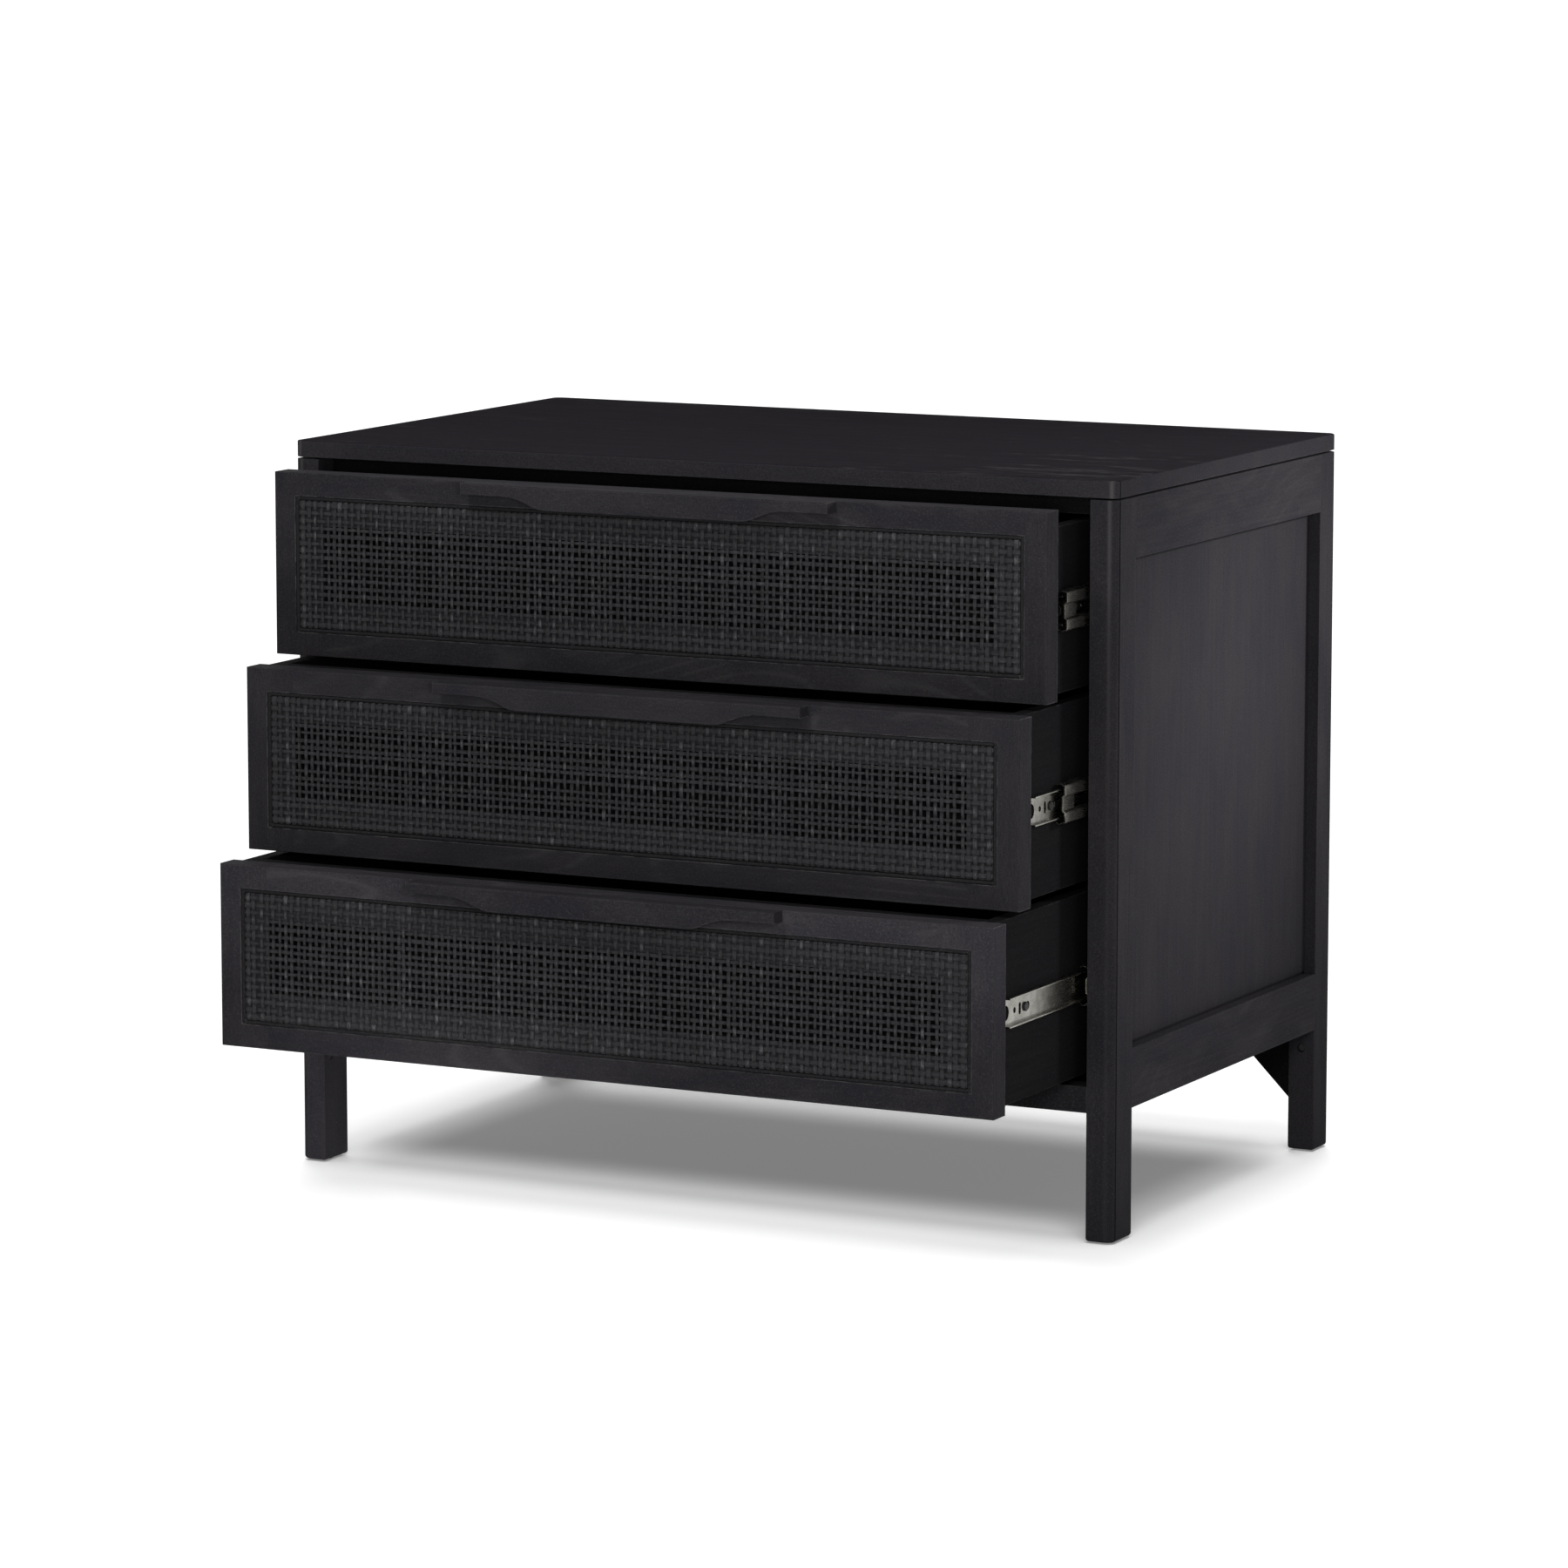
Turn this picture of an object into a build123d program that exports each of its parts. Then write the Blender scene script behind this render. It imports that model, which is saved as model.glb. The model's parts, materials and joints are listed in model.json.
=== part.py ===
from build123d import *
import os
from math import atan2, degrees

# A nightstand with three cane-front drawers, standing on the floor with its front towards -Y.
# The origin is on the floor, under the middle of the case. All sizes are in millimetres.

# Overall size of the case
width = 813.0
depth = 489.0
height = 662.0

# Top panel, held off the posts by a shadow gap
top_thickness = 14.8
top_gap = 1.6
top_edge_round = 1.5
top_under_round = 0.5

# Posts, whose outer corner leaves the front face in an arc and meets the side in a small groove
post_width = 25.0
post_depth = 40.0
back_post_depth = 37.6
corner_across = 9.2
corner_along = 5.9
quirk_depth = 1.3
quirk_width = 1.7
quirk_bite = 0.2
post_top_round = 0.5
foot_round = 3.0

# Foot glides
glide_diameter = 16.0
glide_thickness = 4.0
glide_stand = 1.5
glide_round = 0.8

# Side frames and their recessed panels, flush with the posts on the inside
rail_floor_gap = 114.5
side_top_rail_height = 52.6
side_bottom_rail_height = 52.5
panel_recess = 10.5
panel_lip = 8.0

# Tenons that join the rails to the posts
tenon_length = 15.0
tenon_thickness = 9.0
tenon_shoulder = 5.0
tenon_slack = 0.1

# Front and back bottom rails, the board between them, back panel and back gussets
front_rail_height = 23.0
front_rail_depth = 22.0
back_rail_height = 25.0
back_rail_depth = 23.5
case_bottom_thickness = 6.0
case_bottom_lift = 6.0
case_bottom_groove = 6.0
back_panel_thickness = 6.0
back_lip = 8.0
gusset_leg = 69.5
gusset_thickness = 18.0

# Top stretchers
stretcher_thickness = 17.0
stretcher_depth = 80.0
stretcher_clear = 2.0

# Drawers, and how far each one stands out of the case
drawer_names = ("top_drawer", "middle_drawer", "bottom_drawer")
drawn_out = (81.2, 132.9, 181.6)
front_thickness = 23.4
front_side_gap = 3.3
front_top_gap = 4.8
front_between_gap = 5.8
front_bottom_gap = 2.5
front_edge_round = 0.8
stile_width = 48.0
front_rail_width = 47.0

# Cane panel, its groove in the front frame and the spline that holds it there
groove_inset = 21.0
groove_width = 4.2
groove_depth = 6.0
cane_thickness = 1.2
cane_set_in = 0.3
cane_edge_thickness = 0.8
spline_round = 1.6
spline_set_in = 0.1

# Pull strip with scooped ends
pull_length = 360.0
pull_height = 20.5
pull_proud = 16.0
pull_end_height = 10.0
pull_end_length = 39.0
scoop_run = 46.0
scoop_first_share = 0.66
pull_edge_round = 1.2

# Drawer boxes
box_depth = 420.0
box_wall = 13.0
box_lift = 4.0
box_top_clear = 4.6
bottom_thickness = 6.0
bottom_lift = 10.0
bottom_groove = 6.0

# Ball-bearing slides: outer member on the case, middle member, inner member on the drawer
slide_space = 12.7
slide_length = 400.0
slide_setback = 1.0
inner_setback = 17.5
slide_gauge = 1.2
slide_bend = 1.0
slide_clear = 0.3
outer_height = 45.0
middle_height = 35.4
inner_height = 25.4
outer_reach = 8.0
inner_reach = 5.5
lip_run = 1.4
lip_drop = 1.2
middle_off_outer = 1.2
crest_run = 2.3
crest_rise = 0.9
crest_slope_run = 2.0
web_step = 2.3
web_step_rise = 1.5
web_half_height = 6.0
middle_drawn_out = (65.0, 66.0, 15.0)

# Holes of the slides
window_start = 23.0
window_length = 60.0
window_height = 11.0
notch_radius = 6.5
pin_hole_diameter = 5.0
pin_hole_offset = 17.8
slot_width = 4.5
slot_height = 10.4
slot_offset = 28.3
access_hole_diameter = 7.4
access_hole_offset = 44.1

# Ball strips that roll between the members
strip_start = 105.0
strip_length = 180.0
strip_width = 4.0
strip_thickness = 0.8
ball_count = 9
outer_ball_place = 4.3
inner_ball_place = 8.7

# Screws
screw_head_diameter = 8.0
screw_head_height = 1.8
screw_head_round = 0.8
screw_diameter = 4.0
screw_slack = 0.15
screw_bite = 9.0
top_screw_spacing = 250.0
case_screw_from_front = 24.0
case_screw_from_back = 30.0
inner_screw_from_front = 38.7
inner_screw_from_back = 40.0
leg_screw_height = 97.0
leg_screw_inset = 12.0
leg_screw_sink = 4.0
front_screw_inset = 13.0
front_screw_spacing = 40.0
pull_screw_spacing = 160.0
pull_screw_sink = 6.0


def middle_of(span, size):
    """A span of the given size in the middle of another span."""
    centre = (span[0] + span[1]) / 2
    return centre - size / 2, centre + size / 2


def shrunk(span, margin):
    """A span that is shorter by the margin at both ends."""
    return span[0] + margin, span[1] - margin


# Places that follow from the sizes
half_width = width / 2
front = -depth / 2
back = depth / 2
inner = half_width - post_width
post_foot = glide_stand
top_underside = height - top_thickness
post_top = top_underside - top_gap
panel_thickness = post_width - panel_recess
side_y = (front + post_depth, back - back_post_depth)
top_rail_z = (post_top - side_top_rail_height, post_top)
bottom_rail_z = (rail_floor_gap, rail_floor_gap + side_bottom_rail_height)
panel_z = (bottom_rail_z[1] - panel_lip, top_rail_z[0] + panel_lip)
panel_y = (side_y[0] - panel_lip, side_y[1] + panel_lip)
front_rail_z = (rail_floor_gap, rail_floor_gap + front_rail_height)
front_rail_y = (front, front + front_rail_depth)
back_rail_z = (rail_floor_gap, rail_floor_gap + back_rail_height)
back_rail_y = (back - back_panel_thickness - back_rail_depth, back - back_panel_thickness)
case_bottom_y = (front_rail_y[1] - case_bottom_groove, back_rail_y[0] + case_bottom_groove)
case_bottom_low = rail_floor_gap + case_bottom_lift
stretcher_z = (top_underside - stretcher_thickness, top_underside)
stretcher_start = front + front_thickness + stretcher_clear
stretcher_stop = back - back_panel_thickness
stretcher_spans = (
    (stretcher_start, stretcher_start + stretcher_depth),
    (stretcher_stop - stretcher_depth, stretcher_stop),
)

# The fronts share the opening between the front rail and the top
drawer_count = len(drawer_names)
opening_height = top_underside - front_rail_z[1]
gaps_height = front_top_gap + (drawer_count - 1) * front_between_gap + front_bottom_gap
front_height = (opening_height - gaps_height) / drawer_count
front_half = inner - front_side_gap
box_half = inner - slide_space
box_inner = box_half - box_wall
slide_front = front + front_thickness + slide_setback

# Screws of the slides, counted from the front end of their members
case_screw_offsets = (case_screw_from_front, slide_length - case_screw_from_back)
inner_screw_offsets = (inner_screw_from_front, slide_length - inner_screw_from_back)

# Screw lengths, each through what it holds and into what it bites
top_screw_length = stretcher_thickness + screw_bite
front_screw_length = box_wall + screw_bite
pull_screw_length = front_thickness - pull_screw_sink + screw_bite

# Tenons of the right side, each as its spans of X, Y and Z
side_tenon_x = middle_of((inner, half_width), tenon_thickness)
side_tenon_y = (
    (side_y[0] - tenon_length, side_y[0]),
    (side_y[1], side_y[1] + tenon_length),
)
top_tenon_z = (top_rail_z[0] + panel_lip + tenon_shoulder, top_rail_z[1] - tenon_shoulder)
bottom_tenon_z = (bottom_rail_z[0] + tenon_shoulder, bottom_rail_z[1] - panel_lip - tenon_shoulder)
cross_tenon_x = (inner, inner + tenon_length)
front_tenon = (cross_tenon_x, middle_of(front_rail_y, tenon_thickness), shrunk(front_rail_z, tenon_shoulder))
back_tenon = (cross_tenon_x, middle_of(back_rail_y, tenon_thickness), shrunk(back_rail_z, tenon_shoulder))
stretcher_tenon_z = middle_of((stretcher_z[0], post_top), tenon_thickness)

# Section points of the slide members: distance from the case, height from the slide's middle
outer_line = outer_height / 2 - slide_gauge / 2
middle_line = middle_height / 2 - slide_gauge / 2
inner_line = inner_height / 2 - slide_gauge / 2
band_place = slide_gauge + middle_off_outer + slide_gauge / 2
web_place = band_place + web_step
tip_place = slide_space - slide_gauge - slide_clear
crest_end = tip_place - lip_run
crest_start = crest_end - crest_run
band_top = middle_line - crest_rise
outer_points = [
    (outer_reach, outer_line - lip_drop),
    (outer_reach - lip_run, outer_line),
    (slide_gauge / 2, outer_line),
]
middle_points = [
    (tip_place, band_top),
    (crest_end, middle_line),
    (crest_start, middle_line),
    (crest_start - crest_slope_run, band_top),
    (band_place, band_top),
    (band_place, web_half_height + web_step_rise),
    (web_place, web_half_height),
]
inner_points = [
    (slide_space - inner_reach, inner_line),
    (slide_space - slide_gauge / 2, inner_line),
]


def front_span(index):
    """Low and high edge of a drawer front, counted from the top drawer down."""
    high = top_underside - front_top_gap - index * (front_height + front_between_gap)
    return high - front_height, high


def box_span(index):
    """Low and high edge of a drawer box, which stays under the top stretchers."""
    low, high = front_span(index)
    return low + box_lift, min(high, stretcher_z[0] - box_top_clear)


def slide_level(index):
    """Height of a slide: the slides are spaced evenly from the lowest box to the highest."""
    lowest = sum(box_span(drawer_count - 1)) / 2
    highest = sum(box_span(0)) / 2
    return highest + (lowest - highest) * index / (drawer_count - 1)


def block(x, y, z):
    """A box from its low and high value along each axis."""
    size = [high - low for low, high in (x, y, z)]
    centre = [(high + low) / 2 for low, high in (x, y, z)]
    return Pos(*centre) * Box(*size)


def socket(x, y, z):
    """The hole that a tenon of these spans goes into."""
    return block(*[(low - tenon_slack, high + tenon_slack) for low, high in (x, y, z)])


def other_side(piece):
    """The same piece on the left side."""
    return mirror(piece, about=Plane.YZ)


def along_y(section, y):
    """A section drawn in X and Z, extruded over a span of Y."""
    return extrude(Plane.XZ.offset(-y[0]) * section, amount=y[0] - y[1])


def save(name, *pieces):
    """Write the solids of one node to its own file."""
    solids = [solid for piece in pieces for solid in piece.solids()]
    export_step(solids[0] if len(solids) == 1 else Compound(solids), f"parts/{name}.step")


def screw(point, direction, length):
    """A pan-head screw whose head sits on a point and whose shank runs along the direction."""
    shank = Pos(0, 0, length / 2) * Cylinder(screw_diameter / 2, length)
    head = Pos(0, 0, -screw_head_height / 2) * Cylinder(screw_head_diameter / 2, screw_head_height)
    head = fillet(head.edges().sort_by(Axis.Z)[0], screw_head_round)
    return Plane(origin=point, z_dir=direction) * (shank + head)


def screw_hole(point, direction, length):
    """The hole for a screw's shank, from its head inwards."""
    depth_in = length + screw_slack
    shank = Pos(0, 0, depth_in / 2) * Cylinder(screw_diameter / 2 + screw_slack, depth_in)
    return Plane(origin=point, z_dir=direction) * shank


def counterbore(point, direction, sink):
    """A recess that hides a screw's head, from the face down to the head's seat."""
    bore = Pos(0, 0, sink / 2) * Cylinder(screw_head_diameter / 2 + screw_slack, sink)
    return Plane(origin=point, z_dir=direction) * bore


def eased_corner():
    """What is cut away at the front right corner of the posts and the top."""
    start = (half_width - corner_across, front)
    end = (half_width, front + corner_along)
    outside = (half_width + corner_across, front - corner_along)
    arc = TangentArc(start, end, tangent=(1, 0))
    rest = Polyline(end, (outside[0], end[1]), outside, (start[0], outside[1]), start)
    return extrude(make_face([arc, rest]), amount=height)


def quirk():
    """The groove cut where the arc of the front right corner meets the side."""
    lip = front + corner_along - quirk_bite
    wall = lip + quirk_width
    points = (
        (half_width - quirk_depth, wall),
        (half_width + quirk_depth, wall),
        (half_width + quirk_depth, lip - quirk_width),
    )
    return extrude(make_face(Polyline(*points, close=True)), amount=height)


def top_panel():
    """The top with four eased and grooved corners and a rounded rim."""
    slab = block((-half_width, half_width), (front, back), (top_underside, height))
    waste = eased_corner()
    waste_back = mirror(waste, about=Plane.XZ)
    for corner in (waste, waste_back, other_side(waste), other_side(waste_back)):
        slab -= corner
    slab = fillet(slab.faces().sort_by(Axis.Z)[-1].edges(), top_edge_round)
    slab = fillet(slab.faces().sort_by(Axis.Z)[0].edges(), top_under_round)
    groove = quirk()
    groove_back = mirror(groove, about=Plane.XZ)
    for cut in (groove, groove_back, other_side(groove), other_side(groove_back)):
        slab -= cut
    for point in top_screw_points():
        slab -= screw_hole(point, (0, 0, 1), top_screw_length)
    return slab


def top_screw_points():
    """Head seats of the screws that go up through the stretchers into the top."""
    across = (-top_screw_spacing, 0.0, top_screw_spacing)
    return [(x, sum(span) / 2, stretcher_z[0]) for span in stretcher_spans for x in across]


def leg_screw(sign):
    """Seat and direction of the screw in a right leg: sideways in front, backwards in the back leg."""
    if sign < 0:
        return (inner, front + leg_screw_inset, leg_screw_height), (1, 0, 0)
    return (inner + leg_screw_inset, side_y[1], leg_screw_height), (0, 1, 0)


def stretcher_tenon(span):
    """Spans of the tenon that a stretcher sets into the right top rail."""
    inside = (max(span[0], side_y[0]), min(span[1], side_y[1]))
    return (cross_tenon_x, shrunk(inside, tenon_shoulder), stretcher_tenon_z)


def post(sign):
    """A right post that runs down as a leg: sign -1 is the front one, 1 the back one."""
    y = (front, side_y[0]) if sign < 0 else (side_y[1], back)
    body = block((inner, half_width), y, (post_foot, post_top))
    waste = eased_corner()
    body -= waste if sign < 0 else mirror(waste, about=Plane.XZ)
    body = fillet(body.faces().sort_by(Axis.Z)[0].edges(), foot_round)
    body = fillet(body.faces().sort_by(Axis.Z)[-1].edges(), post_top_round)
    groove = quirk()
    body -= groove if sign < 0 else mirror(groove, about=Plane.XZ)
    body -= block((inner, inner + panel_thickness), panel_y, panel_z)
    for tenon_y in side_tenon_y:
        for tenon_z in (top_tenon_z, bottom_tenon_z):
            body -= socket(side_tenon_x, tenon_y, tenon_z)
    if sign < 0:
        body -= socket(*front_tenon)
    else:
        body -= socket(*back_tenon)
        body -= block((inner, inner + back_lip), (stretcher_stop, back), (rail_floor_gap, post_top))
    place = ((inner + half_width) / 2, (y[0] + y[1]) / 2, glide_thickness / 2)
    body -= Pos(*place) * Cylinder(glide_diameter / 2 + tenon_slack, glide_thickness)
    point, direction = leg_screw(sign)
    seat = Vector(*point) + Vector(*direction) * leg_screw_sink
    body -= counterbore(point, direction, leg_screw_sink)
    body -= screw_hole(seat, direction, screw_bite)
    return body


def side_rail(z, tenon_z):
    """A right side rail with its tenons and the lip that takes the panel."""
    rail = block((inner, half_width), side_y, z)
    for tenon_y in side_tenon_y:
        rail += block(side_tenon_x, tenon_y, tenon_z)
    rail -= block((inner, inner + panel_thickness), panel_y, panel_z)
    for span in stretcher_spans:
        rail -= socket(*stretcher_tenon(span))
    return rail


def side_panel():
    """The recessed panel of the right side, with the holes of the slide screws."""
    panel = block((inner, inner + panel_thickness), panel_y, panel_z)
    for index in range(drawer_count):
        for offset_y in case_screw_offsets:
            panel -= screw_hole(case_screw_seat(index, offset_y), (1, 0, 0), screw_bite)
    return panel


def case_screw_seat(index, offset_y):
    """Where the head of a slide screw sits, on the inside of a right outer member."""
    return inner - slide_gauge, slide_front + offset_y, slide_level(index)


def cross_rail(y, z, tenon):
    """A rail across the case with a tenon at each end."""
    rail = block((-inner, inner), y, z)
    right = block(*tenon)
    return rail + right + other_side(right)


def stretcher(span):
    """A flat board across the case that carries the top."""
    board = cross_rail(span, stretcher_z, stretcher_tenon(span))
    for point in top_screw_points():
        board -= screw_hole(point, (0, 0, 1), top_screw_length)
    return board


def case_bottom():
    """The thin board that closes the case from below, let into the front and back rails."""
    return block((-inner, inner), case_bottom_y, (case_bottom_low, case_bottom_low + case_bottom_thickness))


def back_panel():
    """The thin back, let into the back posts and nailed on the back rail and stretcher."""
    reach = inner + back_lip
    return block((-reach, reach), (stretcher_stop, back), (rail_floor_gap, post_top))


def gusset():
    """The triangular brace in the corner of the right back leg and the back rail."""
    corner = (inner, rail_floor_gap)
    outline = Polyline(corner, (inner - gusset_leg, corner[1]), (inner, corner[1] - gusset_leg), close=True)
    return along_y(make_face(outline), (back_rail_y[0], back_rail_y[0] + gusset_thickness))


def foot_glide(sign):
    """The round glide under a right leg."""
    y = sum((front, side_y[0]) if sign < 0 else (side_y[1], back)) / 2
    disc = Cylinder(glide_diameter / 2, glide_thickness)
    disc = Pos((inner + half_width) / 2, y, glide_thickness / 2) * disc
    return fillet(disc.edges().sort_by(Axis.Z)[0], glide_round)


def channel(upper_points, level, start):
    """A right slide member: a bent sheet section, the same above and below its middle."""
    lower_points = [(place, -rise) for place, rise in reversed(upper_points)]
    line = [(inner - place, level + rise) for place, rise in upper_points + lower_points]
    section = trace(FilletPolyline(*line, radius=slide_bend), slide_gauge)
    return along_y(section, (start, start + slide_length))


def sheet_hole(shape, y, level):
    """A drawn shape cut through all the sheets of a right slide, drawn in Y and Z."""
    side = Plane(origin=(inner, y, level), x_dir=(0, 1, 0), z_dir=(-1, 0, 0))
    return extrude(side * shape, amount=slide_space)


def outer_member(index):
    """The channel on the right side of the case."""
    member = channel(outer_points, slide_level(index), slide_front)
    for offset_y in case_screw_offsets:
        member -= screw_hole(case_screw_seat(index, offset_y), (1, 0, 0), slide_gauge)
    return member


def middle_start(index):
    """Front end of a middle member."""
    return slide_front - middle_drawn_out[index]


def inner_start(index):
    """Front end of an inner member, set back from the drawer front."""
    return front + front_thickness + inner_setback - drawn_out[index]


def middle_member(index):
    """The right channel that floats between case and drawer, with a window near each end."""
    level = slide_level(index)
    start = middle_start(index)
    member = channel(middle_points, level, start)
    window = Rectangle(window_length, window_height)
    for centre in (window_start + window_length / 2, slide_length - window_start - window_length / 2):
        member -= sheet_hole(window, start + centre, level)
    return member


def inner_screw_seat(index, offset_y):
    """Where the head of a slide screw sits, on a right inner member."""
    return box_half + slide_gauge, inner_start(index) + offset_y, slide_level(index)


def inner_member(index):
    """The right channel on the drawer box, with its notch, holes and slot."""
    level = slide_level(index)
    start = inner_start(index)
    member = channel(inner_points, level, start)
    member -= sheet_hole(Circle(notch_radius), start, level)
    member -= sheet_hole(Circle(pin_hole_diameter / 2), start + pin_hole_offset, level)
    slot = SlotOverall(slot_height, slot_width, rotation=90)
    member -= sheet_hole(slot, start + slot_offset, level)
    member -= sheet_hole(Circle(access_hole_diameter / 2), start + access_hole_offset, level)
    for offset_y in inner_screw_offsets:
        member -= screw_hole(inner_screw_seat(index, offset_y), (-1, 0, 0), slide_gauge)
    return member


def ball_strip(place, low, high, level, start):
    """A right upper strip of balls that fills the gap between two heights over the slide's middle."""
    radius = (high - low) / 2 - slide_clear
    x = inner - place
    z = level + (high + low) / 2
    stop = start + strip_length
    strip = block(middle_of((x, x), strip_width), (start, stop), middle_of((z, z), strip_thickness))
    pitch = strip_length / ball_count
    for ball in range(ball_count):
        strip += Pos(x, start + pitch * (ball + 0.5), z) * Sphere(radius)
    return strip


def four_strips(upper, level):
    """A ball strip above and below the middle of the right and the left slide."""
    lower = mirror(upper, about=Plane.XY.offset(level))
    return [upper, lower, other_side(upper), other_side(lower)]


def outer_ball_strips(index):
    """Strips between outer and middle members, half as far out as the middle member."""
    level = slide_level(index)
    start = strip_start + (slide_front + middle_start(index)) / 2
    gap = (band_top + slide_gauge / 2, outer_line - slide_gauge / 2)
    return four_strips(ball_strip(outer_ball_place, *gap, level, start), level)


def inner_ball_strips(index):
    """Strips between middle and inner members, halfway between the two members' places."""
    level = slide_level(index)
    start = strip_start + (middle_start(index) + inner_start(index)) / 2
    gap = (inner_line + slide_gauge / 2, middle_line - slide_gauge / 2)
    return four_strips(ball_strip(inner_ball_place, *gap, level, start), level)


def front_rectangle(index, inset, y):
    """A block over the drawer front, smaller than its outline by the inset on all sides."""
    low, high = front_span(index)
    reach = front_half - inset
    return block((-reach, reach), y, (low + inset, high - inset))


def front_blank(index):
    """The outline of a drawer front with its groove and the seat of the cane."""
    low, high = front_span(index)
    face = front - drawn_out[index]
    blank = block((-front_half, front_half), (face, face + front_thickness), (low, high))
    blank = fillet(blank.faces().sort_by(Axis.Y)[0].edges(), front_edge_round)
    groove = front_rectangle(index, groove_inset, (face, face + groove_depth))
    groove -= front_rectangle(index, groove_inset + groove_width, (face, face + groove_depth))
    seat = front_rectangle(index, groove_inset + groove_width, (face, face + cane_set_in + cane_thickness))
    return blank - groove - seat


def front_tenon_spans(index, low):
    """Spans of the tenon at the right end of a front rail that starts at a height."""
    face = front - drawn_out[index]
    end = front_half - stile_width
    y = (face + groove_depth + tenon_shoulder, face + front_thickness - tenon_shoulder)
    return (end, end + tenon_length), y, shrunk((low, low + front_rail_width), tenon_shoulder)


def front_rail_lows(index):
    """Lower edges of the two rails of a drawer front."""
    low, high = front_span(index)
    return low, high - front_rail_width


def front_stile(index):
    """The right stile of a drawer front."""
    low, high = front_span(index)
    face = front - drawn_out[index]
    stile = front_blank(index)
    stile &= block((front_half - stile_width, front_half), (face, face + front_thickness), (low, high))
    for rail_low in front_rail_lows(index):
        stile -= socket(*front_tenon_spans(index, rail_low))
    for point in front_screw_seats(index):
        stile -= screw_hole(point, (0, -1, 0), front_screw_length)
    return stile


def front_rails(index):
    """The two rails of a drawer front, the upper one with the holes of the pull's screws."""
    face = front - drawn_out[index]
    reach = front_half - stile_width
    blank = front_blank(index)
    rails = []
    for low in front_rail_lows(index):
        rail = blank & block((-reach, reach), (face, face + front_thickness), (low, low + front_rail_width))
        tenon = block(*front_tenon_spans(index, low))
        rails.append(rail + tenon + other_side(tenon))
    for seat in pull_screw_seats(index):
        mouth = (seat[0], face + front_thickness, seat[2])
        rails[1] -= counterbore(mouth, (0, -1, 0), pull_screw_sink)
        rails[1] -= screw_hole(seat, (0, -1, 0), pull_screw_length)
    return rails


def cane_panel(index):
    """The sheet of cane, with its edge turned down into the groove."""
    face = front - drawn_out[index]
    inset = groove_inset + groove_width - cane_edge_thickness
    sheet = front_rectangle(index, inset, (face + cane_set_in, face + groove_depth))
    hollow = (face + cane_set_in + cane_thickness, face + groove_depth)
    return sheet - front_rectangle(index, groove_inset + groove_width, hollow)


def cane_spline(index):
    """Four strips pressed into the groove: two upright ones and two between them."""
    low, high = front_span(index)
    face = front - drawn_out[index]
    strip_across = groove_width - cane_edge_thickness
    outer_x = front_half - groove_inset
    outer_z = (low + groove_inset, high - groove_inset)
    y = (face + spline_set_in, face + groove_depth)
    upright = block((outer_x - strip_across, outer_x), y, outer_z)
    reach = outer_x - strip_across
    lying = [
        block((-reach, reach), y, (outer_z[0], outer_z[0] + strip_across)),
        block((-reach, reach), y, (outer_z[1] - strip_across, outer_z[1])),
    ]
    strips = [round_front(upright, Axis.Z)] + [round_front(strip, Axis.X) for strip in lying]
    return strips + [other_side(strips[0])]


def round_front(strip, axis):
    """A strip with its two long front edges rounded."""
    edges = strip.faces().sort_by(Axis.Y)[0].edges().filter_by(axis)
    return fillet(edges, spline_round)


def pull(index):
    """The pull: full height in the middle, scooped from below towards both ends by two tangent arcs."""
    high = front_span(index)[1]
    face = front - drawn_out[index]
    half = pull_length / 2
    drop = pull_height - pull_end_height
    turn = 2 * degrees(atan2(drop, scoop_run))
    radii = (scoop_run**2 + drop**2) / (2 * drop)
    scoop_start = (half - pull_end_length, high - pull_end_height)
    first = JernArc(scoop_start, (-1, 0), radii * scoop_first_share, turn)
    second = JernArc(first @ 1, first % 1, radii * (1 - scoop_first_share), -turn)
    end = Polyline((0, high), (half, high), (half, high - pull_end_height), first @ 0)
    outline = make_face([end, first, second, Polyline(second @ 1, (0, high - pull_height), (0, high))])
    strip = along_y(outline + mirror(outline, about=Plane.YZ), (face - pull_proud, face))
    strip = fillet(strip.faces().sort_by(Axis.Y)[0].edges(), pull_edge_round)
    for seat in pull_screw_seats(index):
        strip -= screw_hole(seat, (0, -1, 0), pull_screw_length)
    return strip


def pull_screw_seats(index):
    """Where the heads of the pull's screws sit, sunk into the back of the upper front rail."""
    high = front_span(index)[1]
    seat_y = front - drawn_out[index] + front_thickness - pull_screw_sink
    return [(x, seat_y, high - pull_height / 2) for x in (-pull_screw_spacing / 2, pull_screw_spacing / 2)]


def front_screw_seats(index):
    """Heads of the screws that hold the front frame, on the inside of the box."""
    seat_y = front - drawn_out[index] + front_thickness + box_wall
    heights = middle_of(front_span(index), front_screw_spacing)
    reach = box_inner - front_screw_inset
    return [(x, seat_y, z) for x in (-reach, reach) for z in heights]


def box_pieces(index):
    """The drawer box: its inner front, right side, back and bottom panel."""
    low, high = box_span(index)
    start = front - drawn_out[index] + front_thickness
    stop = start + box_depth
    bottom_z = (low + bottom_lift, low + bottom_lift + bottom_thickness)
    reach = box_inner + bottom_groove
    bottom_y = (start + box_wall - bottom_groove, stop - box_wall + bottom_groove)
    bottom = block((-reach, reach), bottom_y, bottom_z)
    inner_front = block((-box_inner, box_inner), (start, start + box_wall), (low, high)) - bottom
    for point in front_screw_seats(index):
        inner_front -= screw_hole(point, (0, -1, 0), front_screw_length)
    side = block((box_inner, box_half), (start, stop), (low, high)) - bottom
    for offset_y in inner_screw_offsets:
        side -= screw_hole(inner_screw_seat(index, offset_y), (-1, 0, 0), screw_bite)
    rear = block((-box_inner, box_inner), (stop - box_wall, stop), (low, high)) - bottom
    return inner_front, side, rear, bottom


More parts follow.
